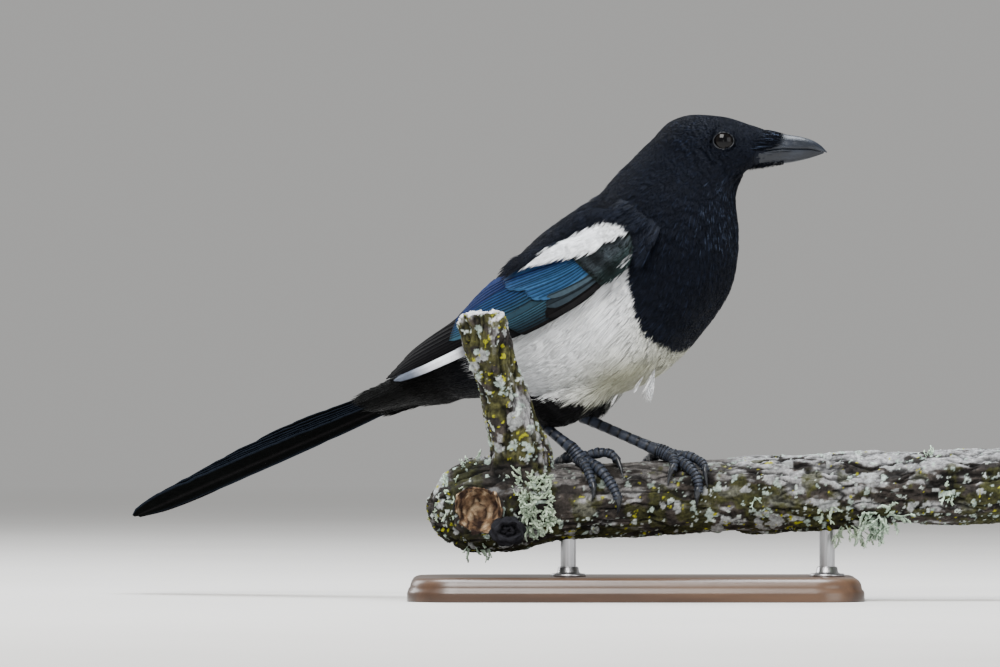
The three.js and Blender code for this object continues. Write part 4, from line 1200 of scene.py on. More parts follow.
def surface_feathers(
    name, place_on, starts, ends, half, blades, depth, paint, slot, material_used, seed,
    stops=STOPS_LONG, **more
):
    """Fans on a surface given as place_on(u, w, lift)."""
    spines = surface_spines(place_on, starts, ends)
    count = len(starts)
    uv = np.stack([np.full(count, 0.97), np.linspace(0.02, 0.95, count)], -1)
    made = fans(spines, np.full(count, half), blades, np.full(count, depth), paint, uv, seed, stops, **more)
    coat_pieces(name, made, material_used, slot)


def make_patches(name, side, chart, paints):
    """The white shoulder feathers and the black mantle that overlaps them."""
    random = np.random.default_rng(60 + side)

    def place_on(back, angle, lift):
        top = PATCH_TOP(back)
        edge = smoothstep(top + 7, top - 3, angle)
        front = smoothstep(-16, -3, back)
        bed = WING_LIFT + PATCH_TALL(back) * 0.8 + 3.2 * smoothstep(14, 2, back)
        over = WING_LIFT + envelope(np.maximum(back, -4), 30) * 1.05 + 0.8
        low = PATCH_LOW(back)
        bed = lerp(bed, np.maximum(bed, over), smoothstep(low + 13, low + 6, angle))
        near = on_section(station_at(back), angle, side, "body", lift - 2)
        return lerp(near, on_wing(side, back, angle, lerp(-2.2, bed, edge) + lift), front[..., None])

    starts, ends = [], []
    for k, back in enumerate(np.arange(-16, 64, 2.1)):
        low, top = float(PATCH_LOW(back + (11 if back > 4 else 8))) + 0.3, float(PATCH_TOP(back)) + 5
        for angle in np.arange(low + (k % 2) * 2, top, 4.0):
            starts.append((back, angle + random.normal(0, 0.5)))
            long = random.uniform(13, 16) if back > 4 else random.uniform(9, 11)
            ends.append((back + long, angle + random.normal(0, 0.6) + 0.6))
    starts, ends = np.array(starts), np.array(ends)
    ends[:, 1] = np.maximum(ends[:, 1], PATCH_LOW(ends[:, 0]) + 0.2)

    def paint(points, draw):
        s, angle, _, _ = chart.find(points)
        back = back_of(s) + draw.normal(0, 0.3, len(points))
        below = angle < PATCH_LINE(back) + draw.normal(0, 0.5, len(points))
        white = below & (back > -1.4) & (back < 66)
        dark = black_tints(points, s, angle, draw)
        pale = WHITE * draw.normal(1, 0.03, (len(points), 1))
        return np.where(white[:, None], pale, dark)

    surface_feathers(
        f"scapular_feathers_{name}", place_on, starts, ends, 2.9, 20, 0.6, paint, "white_feathers",
        paints["white"], 640, STOPS_FINE, ragged=0.1,
    )


BEND_STREAKS = 11
BREAST_REACH = ((-13, 8), (-8, 4.6), (-5, 1.8), (0, -2.6), (6, -4.6), (12, -4.4), (16, -3), (24, 0))


def make_breast_overlap(name, side, chart, paints):
    """Breast feathers that lie over the bend of the wing, and the white streaks there."""
    random = np.random.default_rng(80 + side)

    def place_on(back, angle, lift):
        over = WING_LIFT + envelope(np.maximum(back, -4), 30) + 0.25
        near = on_section(station_at(back), angle, side, "body", lift - 2)
        far = on_wing(side, back, angle, over + lift)
        return lerp(near, far, smoothstep(-17, -3.6, back)[..., None])

    starts, ends = [], []
    for angle in np.arange(-13, 24, 1.2):
        reach = np.interp(angle, *np.array(BREAST_REACH).T)
        for short in (8, 5.6, 3.2, 1.2, 0):
            wander = random.normal(0, 0.5)
            back = reach - short + random.uniform(-0.7, 0.5)
            starts.append((back - random.uniform(11, 15), angle + wander))
            ends.append((back, angle + wander + random.normal(0, 0.6)))
    surface_feathers(
        f"breast_side_{name}", place_on, starts, ends, 2.0, 12, 0.25,
        lambda points, draw: black_tints(points, chart.find(points)[0], np.zeros(len(points)), draw),
        "black_feathers", paints["black"], 641,
    )
    back = random.uniform(2, 8, BEND_STREAKS)
    edge = np.interp(back, [-3, 4, 11], [-6, -8.6, -9.4])
    starts = np.stack([back, edge + random.uniform(-0.4, 3.4, BEND_STREAKS)], -1)
    long, turn = random.uniform(5, 10, BEND_STREAKS), random.uniform(-0.4, 0.6, BEND_STREAKS)
    ends = starts + np.stack([long, turn], -1)
    surface_feathers(
        f"bend_streaks_{name}",
        lambda b, a, lift: on_wing(side, b, a, WING_LIFT + envelope(b, 30) + 0.5 + lift),
        starts, ends, 0.2, 2, 0.2, lambda points, draw: WHITE * draw.uniform(0.04, 0.6, (len(points), 1)),
        "white_feathers", paints["white"], 642,
    )


COVERT_END = through([[-9.4, 21], [-8, 24.5], [-3, 25.5], [0.4, 27], [5.3, 28.5], [14.8, 35.5], [18, 38]])
CHARCOAL = np.array([0.036, 0.045, 0.053])
COVERT_GREEN = np.array([0.012, 0.021, 0.021])
COVERT_RISE = 1.04


def make_lesser_coverts(name, side, chart, paints):
    """The soft dark coverts at the front of the wing, up to the white patch."""
    random = np.random.default_rng(70 + side)

    def place_on(back, angle, lift):
        return on_wing(side, back, angle, WING_LIFT + envelope(back, 30) * COVERT_RISE + lift)

    starts, ends = [], []
    for k, back in enumerate(np.arange(-6, 30, 2.0)):
        low, high = float(WING_LOW(back)) + 0.6, float(PATCH_LOW(back + 6)) + 1.5
        for angle in np.arange(low + 1.6 * (k % 2), high, 3.2):
            start = back + random.normal(0, 0.7)
            end = start + random.uniform(7, 10.5)
            if end > COVERT_END(angle) + random.normal(0, 1.0):
                continue
            turned = angle + random.normal(0, 0.7)
            starts.append((start, turned))
            tip = turned + random.normal(0.2, 0.9)
            ends.append((end, float(np.clip(tip, WING_LOW(end) + 0.6, PATCH_LOW(end) + 0.5))))

    def paint(points, draw):
        s, angle, _, _ = chart.find(points)
        patchy = smoothstep(-0.5, 0.55, rough(points, 7, 2, 21))[:, None]
        tint = lerp(COVERT_GREEN, CHARCOAL, smoothstep(-6, 2, angle)[:, None]) * lerp(0.25, 1.3, patchy)
        return tint * np.exp(draw.normal(0, 0.25, (len(points), 1)))

    surface_feathers(
        f"lesser_coverts_{name}", place_on, starts, ends, 2.3, 15, 0.45, paint, "wing_feathers",
        paints["black"], 644, ragged=0.08,
    )


def tail_surface(back, turn, lift):
    """The tail's root with its covering feathers, by distance back and angle round it."""
    ahead = np.clip(back / PLUG_REACH, 0, 1.1)
    wide = lerp(13.0, 15.2, ahead) + lift
    tall = lerp(11.8, 1.9, ahead**0.75) + lift
    a = np.radians(turn)
    return on_tail(back, wide * np.cos(a), -0.8 * ahead + tall * np.sin(a))


def make_tail_coverts(paints):
    random = np.random.default_rng(90)
    starts, ends = [], []
    for k, back in enumerate(np.arange(-16, 27, 3.2)):
        for turn in np.arange(0, 360, 11) + 5.5 * (k % 2):
            start = back + random.normal(0, 1.5)
            starts.append((start, turn))
            ends.append((start + random.uniform(14, 24), turn + random.normal(0, 2)))
    surface_feathers(
        "tail_coverts", tail_surface, starts, ends, 2.7, 13, 0.5,
        lambda points, draw: TAIL_TINT * np.exp(draw.normal(0, 0.3, (len(points), 1))),
        "black_feathers", paints["black"], 643,
    )


# Wing, shoulder and tail feathers as vanes

VANE_ROWS = 30
VANE_COLUMNS = np.array([-1, -0.93, -0.8, -0.5, -0.2, -0.07, 0, 0.07, 0.25, 0.55, 0.85, 1])
VANE_THICK = 0.26
BLADE = through(
    [[0, 0.3], [0.12, 0.6], [0.3, 0.88], [0.6, 1], [0.85, 0.9], [0.94, 0.68], [0.98, 0.42], [1, 0.12]]
)


def vane_tints(outer, inner=None, edge=None, shaft=None, fade=None):
    """Colours across a vane: its outer web, dark inner web, fine edge and shaft. A dark edge is a painted
    shadow in the gap between stacked feathers; the tail's bluish edge is a painted sheen.
    """
    outer = np.asarray(outer, float)
    inner = outer * 0.5 if inner is None else np.asarray(inner, float)
    edge = outer * 0.3 if edge is None else np.asarray(edge, float)
    shaft = outer * 0.12 if shaft is None else np.asarray(shaft, float)

    def paint(t, v):
        t, v = (x[..., None] for x in np.broadcast_arrays(t, v))
        colour = lerp(outer, inner, smoothstep(-0.02, 0.2, v))
        # the fine edge on both sides: where it is dark, a painted shadow in the gap between overlapping
        # feathers
        colour = lerp(colour, edge, smoothstep(0.82, 0.95, np.abs(v)))
        colour = lerp(colour, shaft, np.exp(-((v / 0.09) ** 2)))
        return fade(t, v, colour) if fade else colour

    return paint


def add_vane(pile, place_on, length, webs, paint, cell, seed, cup=0.5, shaft=0.3, ragged=0.04, outline=BLADE):
    """One feather. place_on(t, across, lift) gives its points: a share of its length, the distance
    from the shaft in millimetres and the height above the feather's own level."""
    random = np.random.default_rng(seed)
    t = np.linspace(0, 1, VANE_ROWS)[:, None] ** 0.92
    v = VANE_COLUMNS[None]
    jag = 1 + ragged * random.normal(0, 1, (VANE_ROWS, 2))
    width = np.where(v < 0, webs[0] * jag[:, :1], webs[1] * jag[:, 1:])
    across = v * width * outline(t)
    ridge = shaft * (1 - 0.75 * t) * np.exp(-((v / 0.06) ** 2))
    bow = -cup * v * v * min(1, abs(webs[0]) / 4)
    top = place_on(t, across, bow + ridge + VANE_THICK * (1 - 0.6 * np.abs(v)))
    under = place_on(t, across, bow - 0.3 * ridge)
    rows, columns = top.shape[:2]
    count = rows * columns
    upper = grid_faces(rows, columns)
    rim = np.concatenate(
        [
            np.arange(columns),
            np.arange(1, rows) * columns + columns - 1,
            (rows - 1) * columns + np.arange(columns - 2, -1, -1),
            np.arange(rows - 2, 0, -1) * columns,
        ]
    )
    after = np.roll(rim, -1)
    wall = np.stack([rim, after, after + count, rim + count], -1)[:, ::-1]
    quads = np.concatenate([upper, upper[:, ::-1] + count, wall])
    points = np.stack([top, under])
    halves = np.concatenate([quads[:, :3], quads[:, [0, 2, 3]]])
    if volume(points.reshape(-1, 3), halves) < 0:
        quads = quads[:, ::-1]
    colour = np.clip(paint(t, v) * random.normal(1, 0.04, (rows, 1, 1)), 0, 1)
    barb = (t * length + np.abs(across) * 0.9) * BARB_SCALE
    colour = np.concatenate([colour, barb[..., None]], -1)
    u0, v0, size = cell
    uv = np.stack([u0 + size * (v * 0.5 + 0.5) * np.ones_like(t), v0 + size * t * np.ones_like(v)], -1)
    pile.add(points, quads, tint=np.stack([colour, colour * [0.8, 0.8, 0.8, 1]]), uv=np.stack([uv, uv]))


def bake_cell(index, total):
    """A square cell of the bake map for one vane."""
    side = math.ceil(math.sqrt(total))
    size = 1 / side
    return ((index % side) * size + 0.05 * size, (index // side) * size + 0.05 * size, 0.9 * size)


WING_LOW = through(
    [
        [-5, -3], [0, -7.4], [11, -8.4], [30, -6.9], [56, -4.6], [86, -3], [120, -1.6], [140, -1.4],
        [178, -3],
    ]
)
WING_TOP = through([[60, 60], [72, 50], [84, 46], [100, 46], [124, 43], [150, 50], [178, 55]])


def wing_feather(side, row):
    """Where a feather's points lie on the wing, from its root and tip as [back, angle] places."""
    root, tip, level = row["root"], row["tip"], row["level"]

    def place_on(t, across, lift):
        back = lerp(root[0], tip[0], t)
        angle = lerp(root[1], tip[1], t) + row.get("bow", 0) * np.sin(math.pi * t)
        width = SHELLS["wing"][1](station_at(back))
        depth = SHELLS["wing"][0](station_at(back))
        turn = np.radians(angle)
        around = np.hypot(width * np.sin(turn), depth * np.cos(turn))
        turned = angle + np.degrees(across / np.maximum(around, 6))
        turned = np.clip(turned, WING_LOW(back), np.minimum(SEAM(back) + 1.2, WING_TOP(back)))
        base = WING_LIFT + lerp(level[0], level[1], t) * envelope(back, np.clip(angle, 30, 75))
        return on_wing(side, back + 0 * across, turned, base + lift)

    return place_on


def series(count, make):
    return [make(i / max(1, count - 1)) for i in range(count)]


STEEL_BLUE = np.array([0.03, 0.09, 0.19])
DEEP_BLUE = np.array([0.014, 0.045, 0.12])
VIOLET = np.array([0.011, 0.025, 0.1])
TEAL = np.array([0.026, 0.068, 0.1])
SLATE = np.array([0.036, 0.056, 0.072])
BRONZE = np.array([0.009, 0.014, 0.014])
BROWN_BLACK = np.array([0.0055, 0.0052, 0.0055])
PRIMARY_BLACK = np.array([0.0045, 0.0045, 0.0055])
PALE_EDGE = np.array([0.06, 0.065, 0.08])

PRIMARY_TIP = through([[0, 152], [0.25, 168], [0.5, 177], [0.75, 174], [1, 164]])
PRIMARY_TIP_ANGLE = through([[0, 5], [0.25, 12], [0.5, 23], [0.75, 37], [1, 50]])


def white_strip(t, v, colour):
    """The outermost quill shows its white web behind the belly and turns silvery to its tip."""
    pale = lerp(np.array([0.78, 0.8, 0.86]), np.array([0.1, 0.115, 0.15]), smoothstep(0.74, 0.92, t))
    streak = smoothstep(0.62, 0.7, t) * smoothstep(1.0, 0.75, np.abs(v))
    return lerp(colour, pale, streak)


def wing_layout():
    """Every feather of one wing: root, tip, webs, levels and colours, quills first."""
    rows = [dict(
        root=(34, -1), tip=(172, 5.5), webs=(2.6, 2.6), level=(0.3, 0.16),
        paint=vane_tints(PRIMARY_BLACK, edge=BROWN_BLACK, shaft=BROWN_BLACK, fade=white_strip))]
    rows += series(9, lambda t: dict(
        root=(34 + 20 * t, 1 + 9 * t), tip=(float(PRIMARY_TIP(t)) + 1, float(PRIMARY_TIP_ANGLE(t)) + 4),
        webs=(2.4, 6.4), level=(0.1 + 0.34 * t,) * 2,
        paint=vane_tints(PRIMARY_BLACK, edge=PALE_EDGE * (0.4 + 0.6 * t))))
    # The rows that follow, up to the small coverts, get a thin black edge (edge=PRIMARY_BLACK or
    # BROWN_BLACK): a painted shadow in the gap where each feather overlaps the next.
    rows += series(10, lambda t: dict(
        root=(lerp(44, 50, t), lerp(6, 22, t)), tip=(lerp(128, 120, t), lerp(20, 40, t)), bow=-1.5,
        webs=(2.6, 5.6), level=(lerp(0.4, 0.64, t),) * 2,
        paint=vane_tints(lerp(TEAL, DEEP_BLUE, min(1, 1.6 * t)), inner=PRIMARY_BLACK, edge=PRIMARY_BLACK)))
    rows += series(4, lambda t: dict(
        root=(lerp(56, 72, t), lerp(25, 34, t)), tip=(lerp(121, 106, t), lerp(38, 45, t)),
        webs=(4.4, 4.8), level=(lerp(0.66, 0.7, t),) * 2,
        paint=vane_tints(VIOLET, inner=VIOLET * 0.6, edge=PRIMARY_BLACK)))
    rows += series(8, lambda t: dict(
        root=(24, lerp(-5, 3, t)), tip=(lerp(82, 90, t), lerp(-1.5, 8, t)),
        webs=(2.2, 3.4), level=(lerp(0.3, 0.45, t), lerp(0.4, 0.62, t)),
        paint=vane_tints(lerp(BROWN_BLACK, TEAL, t), edge=BROWN_BLACK, shaft=BROWN_BLACK)))
    rows += series(3, lambda t: dict(
        root=(14, lerp(-5, -2, t)), tip=(lerp(62, 55, t), lerp(-1, 6, t)),
        webs=(2.6, 3.4), level=(0.5, lerp(0.62, 0.74, t)),
        paint=vane_tints(lerp(BROWN_BLACK * 1.5, SLATE, t), edge=PRIMARY_BLACK)))
    rows += series(11, lambda t: dict(
        root=(lerp(22, 34, t), lerp(3, 17, t)),
        tip=(lerp(60, 80, t) + 2.2 * math.sin(11 * t), lerp(8, 33, t)), bow=-1,
        webs=(2.6 + 0.5 * math.sin(23 * t), 4.2), level=(lerp(0.6, 0.66, t), lerp(0.74, 0.86, t)),
        paint=vane_tints(
            lerp(STEEL_BLUE * 0.85, lerp(STEEL_BLUE, VIOLET, t**4), t) * (1 + 0.22 * math.sin(17 * t)),
            inner=DEEP_BLUE, edge=PRIMARY_BLACK)))
    for start, reach, count, level in (
        (15, 11, 10, 0.84), (9, 13, 9, 0.9), (3, 13, 9, 0.95), (-1, 11, 8, 0.98), (-4.4, 9, 7, 1.0),
    ):
        for i in range(count):
            rows.append(covert_row(start, reach, level, i / max(1, count - 1)))
    return rows


def covert_row(start, reach, level, t):
    """Small dark coverts that fill the front of the wing from its lower edge to the white patch."""
    end = start + reach * (1 + 0.5 * t)
    low, high = float(WING_LOW(start)) + 1.5, float(SEAM(start)) + 1.5
    end_low, end_high = float(WING_LOW(end)) + 2.2, float(SEAM(end)) + 0.5
    gloss = BRONZE * (1 + 0.9 * t)
    return dict(
        root=(start, lerp(low, high, t)), tip=(end, lerp(end_low, end_high, t)),
        webs=(2.5, 2.8), level=(level, level + 0.08),
        paint=vane_tints(gloss, edge=gloss * 1.3, shaft=BROWN_BLACK),
    )


FIRST_COVERT = 1 + 9 + 10 + 4


def make_wing(name, side, paints):
    rows = wing_layout()
    flight, coverts = Pile(), Pile()
    for i, row in enumerate(rows):
        length = row["tip"][0] - row["root"][0]
        pile = flight if i < FIRST_COVERT else coverts
        add_vane(
            pile, wing_feather(side, row), length, row["webs"], row["paint"],
            bake_cell(i, len(rows)), 300 + i,
        )
    flight.make(f"wing_{name}_flight_feathers", paints["wing"], "wing_feathers", [f"wing_{name}"])
    coverts.make(f"wing_{name}_coverts", paints["wing"], "wing_feathers")


PATCH_TOP = through([[-6, 18], [0, 30], [10, 39], [20, 42], [40, 42], [60, 41], [72, 42]])
PATCH_TALL = through([[-6, 0.6], [4, 2.2], [20, 3.6], [45, 3.4], [72, 1]])


def make_patch_bed(name, side, paints):
    """The broad bases of the shoulder feathers, under the fine ones."""
    pile = Pile()
    rows = [(start, start + long) for start, long in zip(range(-3, 60, 6), np.linspace(13, 19, 11))]
    total = len(rows) * 6
    index = 0
    for start, end in rows:
        for t in np.linspace(0.0, 0.95, 6):
            root = (start, float(lerp(SEAM(start) + 1.2, PATCH_TOP(start), t)))
            tip = (end, float(lerp(SEAM(end) + 1.2, PATCH_TOP(end), t)))
            tall = float(PATCH_TALL(end) * (0.45 + 0.3 * math.sin(math.pi * min(1, t + 0.1))))
            add_vane(
                pile, patch_feather(side, root, tip, tall), end - start, (2.9, 2.9),
                bed_tints(root, tip), bake_cell(index, total), 700 + index, cup=0.2, shaft=0.1,
            )
            index += 1
    pile.make(f"scapular_bases_{name}", paints["white"], "white_feathers", [f"scapulars_{name}"])


def bed_tints(root, tip):
    """White below the patch's upper line and black above it."""

    def paint(t, v):
        back = lerp(root[0], tip[0], t)
        angle = lerp(root[1], tip[1], t) + 4.0 * v
        white = smoothstep(1.5, 0, angle - PATCH_LINE(back)) * smoothstep(-3.5, -1.5, back)
        return lerp(BLACK, WHITE * 0.9, white[..., None])

    return paint


def patch_feather(side, root, tip, tall):
    def place_on(t, across, lift):
        back = lerp(root[0], tip[0], t)
        angle = lerp(root[1], tip[1], t) + np.degrees(across / 34)
        angle = np.clip(angle, SEAM(back) + 0.3, 60)
        return on_wing(side, back + 0 * across, angle, WING_LIFT + tall * lerp(0.45, 1, t) + lift)

    return place_on


RECTRICES = [
    (1, 2.5, (13.5, 14.5)),
    (0.93, 4.8, (11.5, 13.5)),
    (0.85, 7, (9.6, 12)),
    (0.765, 9.2, (8, 11.5)),
    (0.675, 11.4, (6.5, 11)),
    (0.55, 13.4, (5.2, 10)),
]
TAIL_TINT = np.array([0.003, 0.0032, 0.0032])
TAIL_SHEEN = np.array([0.012, 0.016, 0.024])
TAIL_OUTLINE = through(
    [[0, 0.3], [0.22, 0.76], [0.5, 0.96], [0.84, 1], [0.93, 0.82], [0.98, 0.45], [1, 0.14]]
)


def make_tail(paints):
    pile = Pile()
    for pair, (share, offset, web) in enumerate(RECTRICES):
        for side in (-1, 1):
            level = TAIL_LAYER * (5.5 - 2 * pair - (0.5 if side > 0 else -0.5))

            def place_on(t, across, lift, share=share, offset=offset, side=side, level=level):
                back = lerp(2, TAIL_LENGTH * share, t)
                shaft = side * offset * np.minimum(1, 0.35 + t)
                return on_tail(back, shaft - side * across, level + lift)

            index = 2 * pair + (side > 0)
            add_vane(
                pile, place_on, TAIL_LENGTH * share, web,
                vane_tints(TAIL_TINT, TAIL_TINT, TAIL_SHEEN, BROWN_BLACK * 1.6),
                bake_cell(index, 12), 500 + index,
                cup=0.3, shaft=0.5, ragged=0.03, outline=TAIL_OUTLINE,
            )
    pile.make("tail_feathers", paints["tail"], "tail_feathers", ["tail"])


WORN_BARBS = 420
WORN_TINT = np.array([0.016, 0.0095, 0.007])


def make_tail_wear(paints):
    """Worn, brownish barbs that hang from the lower edge of the tail's tip."""
    random = np.random.default_rng(57)
    count = WORN_BARBS
    back = random.uniform(158, 191, count)
    edge = 2.5 + 13.5 * TAIL_OUTLINE(back / TAIL_LENGTH)
    reach = random.uniform(2.0, 4.6, count) * (1 + 0.35 * np.sin(back * 0.9))
    u = BLADE_STOPS
    left = edge[:, None] - 2.5 + 2.5 * u
    along = back[:, None] + (reach[:, None] * 0.5 + 1) * u
    level = TAIL_LAYER * 5.5 + random.uniform(-0.3, 0.3, (count, 1)) - reach[:, None] * u**1.4
    coat_pieces(
        "tail_worn_barbs", face_blades(on_tail(along, left, level), 0.2, random, WORN_TINT),
        paints["black"], "tail_feathers",
    )


# Head details


def make_eyes(paints):
    for name, side in SIDES.items():
        pile = Pile()
        rings = sphere_points((0, 0, 0), EYE_RADIUS, 48, 64)
        facing = rings[..., 1] / EYE_RADIUS * side
        iris = smoothstep(0.76, 0.84, facing) - smoothstep(0.9, 0.93, facing)
        tint = lerp(np.array([0.0015, 0.0015, 0.002]), np.array([0.0035, 0.0027, 0.0025]), iris[..., None])
        pile.loft(rings + eye_place(side), tint)
        pile.make(f"eyeball_{name}", paints["eye"], "eye", [f"eye_{name}"])
        make_lids(name, side, paints)


LID_RADIUS = 0.3


def make_lids(name, side, paints):
    """The thin bare rim round the eye, lying on the eyeball."""
    a = np.linspace(0, 2 * math.pi, 90, endpoint=False)
    x = LID_OPENING[0] * np.cos(a)
    z = LID_OPENING[1] * np.sin(a)
    y = np.sqrt((EYE_RADIUS + 0.2) ** 2 - x * x - z * z)
    middle = eye_place(side) + np.stack([x, side * y, z], -1)
    outward = unit(middle - eye_place(side))
    along = unit(np.roll(middle, -1, 0) - np.roll(middle, 1, 0))
    across = np.cross(along, outward)
    b = np.linspace(0, 2 * math.pi, 12, endpoint=False)
    radius = LID_RADIUS * (1 + 0.12 * np.sin(a * 23)[:, None]) * np.ones((1, 12))
    rings = (
        middle[:, None]
        + across[:, None] * (radius * np.cos(b))[..., None]
        + outward[:, None] * (radius * 0.8 * np.sin(b))[..., None]
    )
    faces = grid_faces(len(a) + 1, 12, True) % (len(a) * 12)
    halves = np.concatenate([faces[:, :3], faces[:, [0, 2, 3]]])
    if volume(rings.reshape(-1, 3), halves) < 0:
        faces = faces[:, ::-1]
    mesh_object(f"eyelid_rim_{name}", rings, faces, paints["lid"], "leg")


RIDGE = through([[0, 238.6], [9.5, 236.9], [16, 235.9], [22, 234.2], [26.8, 231.4], [29.9, 228.2]])
CUT = through([[-8, 227.2], [0, 228.5], [9.5, 229.5], [19, 229.6], [26, 228.5], [29.9, 227.6]])
CHIN = through([[-8, 220.9], [0, 221.5], [9, 222.2], [18.5, 224.1], [24, 225.7], [28.4, 227.3]])
BILL_HALF = through([[-8, 9.7], [0, 7], [6, 6], [14, 4.7], [21, 3.3], [27, 1.6], [29.9, 0.5]])
GAPE_BACK = {"upper": 5, "lower": 8}

# Ridges beside the gape: height above the mouth, radius, start and end along the bill
GAPE_LINES = ((1.15, 0.42, -8.5, 9), (-0.75, 0.5, -8.2, 12), (-2.3, 0.38, -7.6, 2))


def make_bill(paints):
    for name, face in (("upper", 1), ("lower", -1)):
        length = BILL_LENGTH - (0 if face > 0 else 1.6)
        behind = GAPE_BACK[name]
        u = np.linspace(0, 1, 90)[:, None]
        t = u**0.9 * (length + behind) - behind
        edge = CUT(t) + face * 0.03
        far = RIDGE(t) if face > 0 else CHIN(t)
        slimmer = 0.88 * (1 - 0.16 * smoothstep(4, 28, t)) + 0.12 * smoothstep(2, -4, t)
        narrow = 1 if face > 0 else slimmer
        sunk = smoothstep(-behind + 3.5, -behind, t)
        fuller = 0.5 * smoothstep(-6.5, -3.5, t) * (t < 6) if face < 0 else 0
        half = BILL_HALF(t) * narrow - 2.2 * sunk + fuller
        a = np.linspace(0, math.pi, 44)[None]
        out = np.sign(np.cos(a)) * np.abs(np.cos(a)) ** 1.15
        height = (far - edge) * np.sin(a) ** 0.85 * (1 - 0.1 * sunk)
        groove = 0.05 * np.exp(-(((np.sin(a) - 0.42) / 0.1) ** 2)) * smoothstep(24, 8, t)
        rolled = 0.03 * np.exp(-(((np.sin(a) - 0.16) / 0.08) ** 2))
        rolled = rolled - 0.09 * smoothstep(0.09, 0, np.sin(a))
        waves = 0.012 * np.sin(t * 1.3 + 3 * np.sin(a))
        y = BILL_Y + half * out * (1 - groove + rolled + waves)
        rings = np.stack([BILL_BASE_X + t + 0 * a, y, edge + height + 0 * t], -1)
        pile = Pile()
        pile.loft(rings)
        pile.make(f"bill_{name}_horn", paints["horn"], "bill", [f"bill_{name}"], coloured=False)
    pile = Pile()
    for side in SIDES.values():
        for shift, radius, start, end in GAPE_LINES:
            t = np.linspace(start, end, 40)
            part = (t - start) / (end - start)
            bow = 0.5 * np.sin(part * math.pi)
            out = BILL_HALF(t) * (0.985 if shift > 0 else 0.955) - 1.2 * smoothstep(0.16, 0, part)
            line = np.stack([BILL_BASE_X + t, BILL_Y + side * out, CUT(t) + shift + bow * 0.4], -1)
            slim = radius * np.sin(np.linspace(0.15, math.pi - 0.05, 40)) ** 0.5
            pile.loft(tube_rings(line, slim[:, None], 10))
    pile.make("gape_ridges", paints["horn"], "bill", coloured=False)


def face_blades(middle, width, random, tint, uv=(0.97, 0.5)):
    """Single three-sided blades along given lines of four points."""
    n = len(middle)
    tangent = unit(np.gradient(middle, axis=1))
    side = unit(np.cross(tangent, [0.3, 0.2, 1]))
    up = np.cross(side, tangent)
    thick = width * np.array([0.7, 1, 0.7, 0]) * random.uniform(0.7, 1.2, (n, 1))
    aside, above = side * thick[..., None], up * thick[..., None] * 0.8
    body = np.stack([middle - aside, middle + aside, middle + above], 2)[:, :3]
    points = np.concatenate([body.reshape(n, 9, 3), middle[:, 3:]], 1)
    colours = np.asarray(tint) * np.exp(random.normal(0, 0.45, (n, 1, 1)))
    colours = np.clip(colours, 0, 1) * np.ones((1, 10, 1))
    places = np.asarray(uv) + random.random((n, 1, 2)) * 0.02 + np.zeros((n, 10, 2))
    return points, colours, places


BRISTLES = 1500
CHIN_HAIRS = 900


def make_bristles(paints):
    """Stiff bristles that lie forward over the bill's base and hide the nostrils."""
    random = np.random.default_rng(21)
    count = BRISTLES
    side = np.where(np.arange(count) % 2, 1, -1)
    angle = random.uniform(3, 89, count)
    start = random.uniform(-12, 1, count)
    limit = np.interp(angle, [0, 12, 40, 65, 90], [1.0, 5.5, 9.8, 10.5, 7.5])
    reach = np.minimum(start + random.uniform(6, 11, count), limit * random.uniform(0.45, 1.12, count))
    t = lerp(start[:, None], reach[:, None], BLADE_STOPS)
    on_bill = np.clip(t, 0, BILL_LENGTH)
    back = np.clip(-t, 0, None)
    swell = (0.35 + 0.75 * random.random((count, 1))) * np.array([0.3, 0.8, 1, 0.7])
    turn = np.radians(angle)[:, None] * (1 - 0.16 * BLADE_STOPS)
    half = BILL_HALF(on_bill) + 0.42 * back
    out = np.cos(turn) ** 1.15 * (half + swell)
    high = np.sin(turn) ** 0.85 * (RIDGE(on_bill) - CUT(on_bill) + swell * 0.8 + 0.1 * back)
    level = CUT(on_bill) - 0.1 * back + high
    middle = np.stack([BILL_BASE_X + t, BILL_Y + side[:, None] * out, level], -1)
    shine = np.where(random.random((count, 1, 1)) < 0.12, SILVER * 0.7, BLACK * 0.8)
    coat_pieces("bill_bristles", face_blades(middle, 0.14, random, shine), paints["black"], "black_feathers")
    count = CHIN_HAIRS
    t0 = random.uniform(-9, 8, count)
    turn = np.radians(random.uniform(-90, -52, count))
    side = np.where(np.arange(count) % 2, 1, -1)
    far = CUT(t0) - CHIN(t0)
    root_y = BILL_Y + side * np.cos(turn) * BILL_HALF(t0) * 0.9
    root = np.stack([BILL_BASE_X + t0, root_y, CUT(t0) + np.sin(turn) * far + 0.3], -1)
    ahead = random.normal(0.25, 0.35, count)
    outward = side * 0.25 + random.normal(0, 0.15, count)
    fall = unit(np.stack([ahead, outward, -np.ones(count)], -1))
    long = random.uniform(1.0, 2.6, count) * np.interp(t0, [-9, -2, 8], [1.3, 1, 0.45])
    u = BLADE_STOPS[None, :, None]
    middle = root[:, None] + fall[:, None] * long[:, None, None] * u + np.array([-0.5, 0, 0]) * u**2
    fringe = face_blades(middle, 0.15, random, BLACK * 0.7)
    coat_pieces("chin_fringe", fringe, paints["black"], "black_feathers")


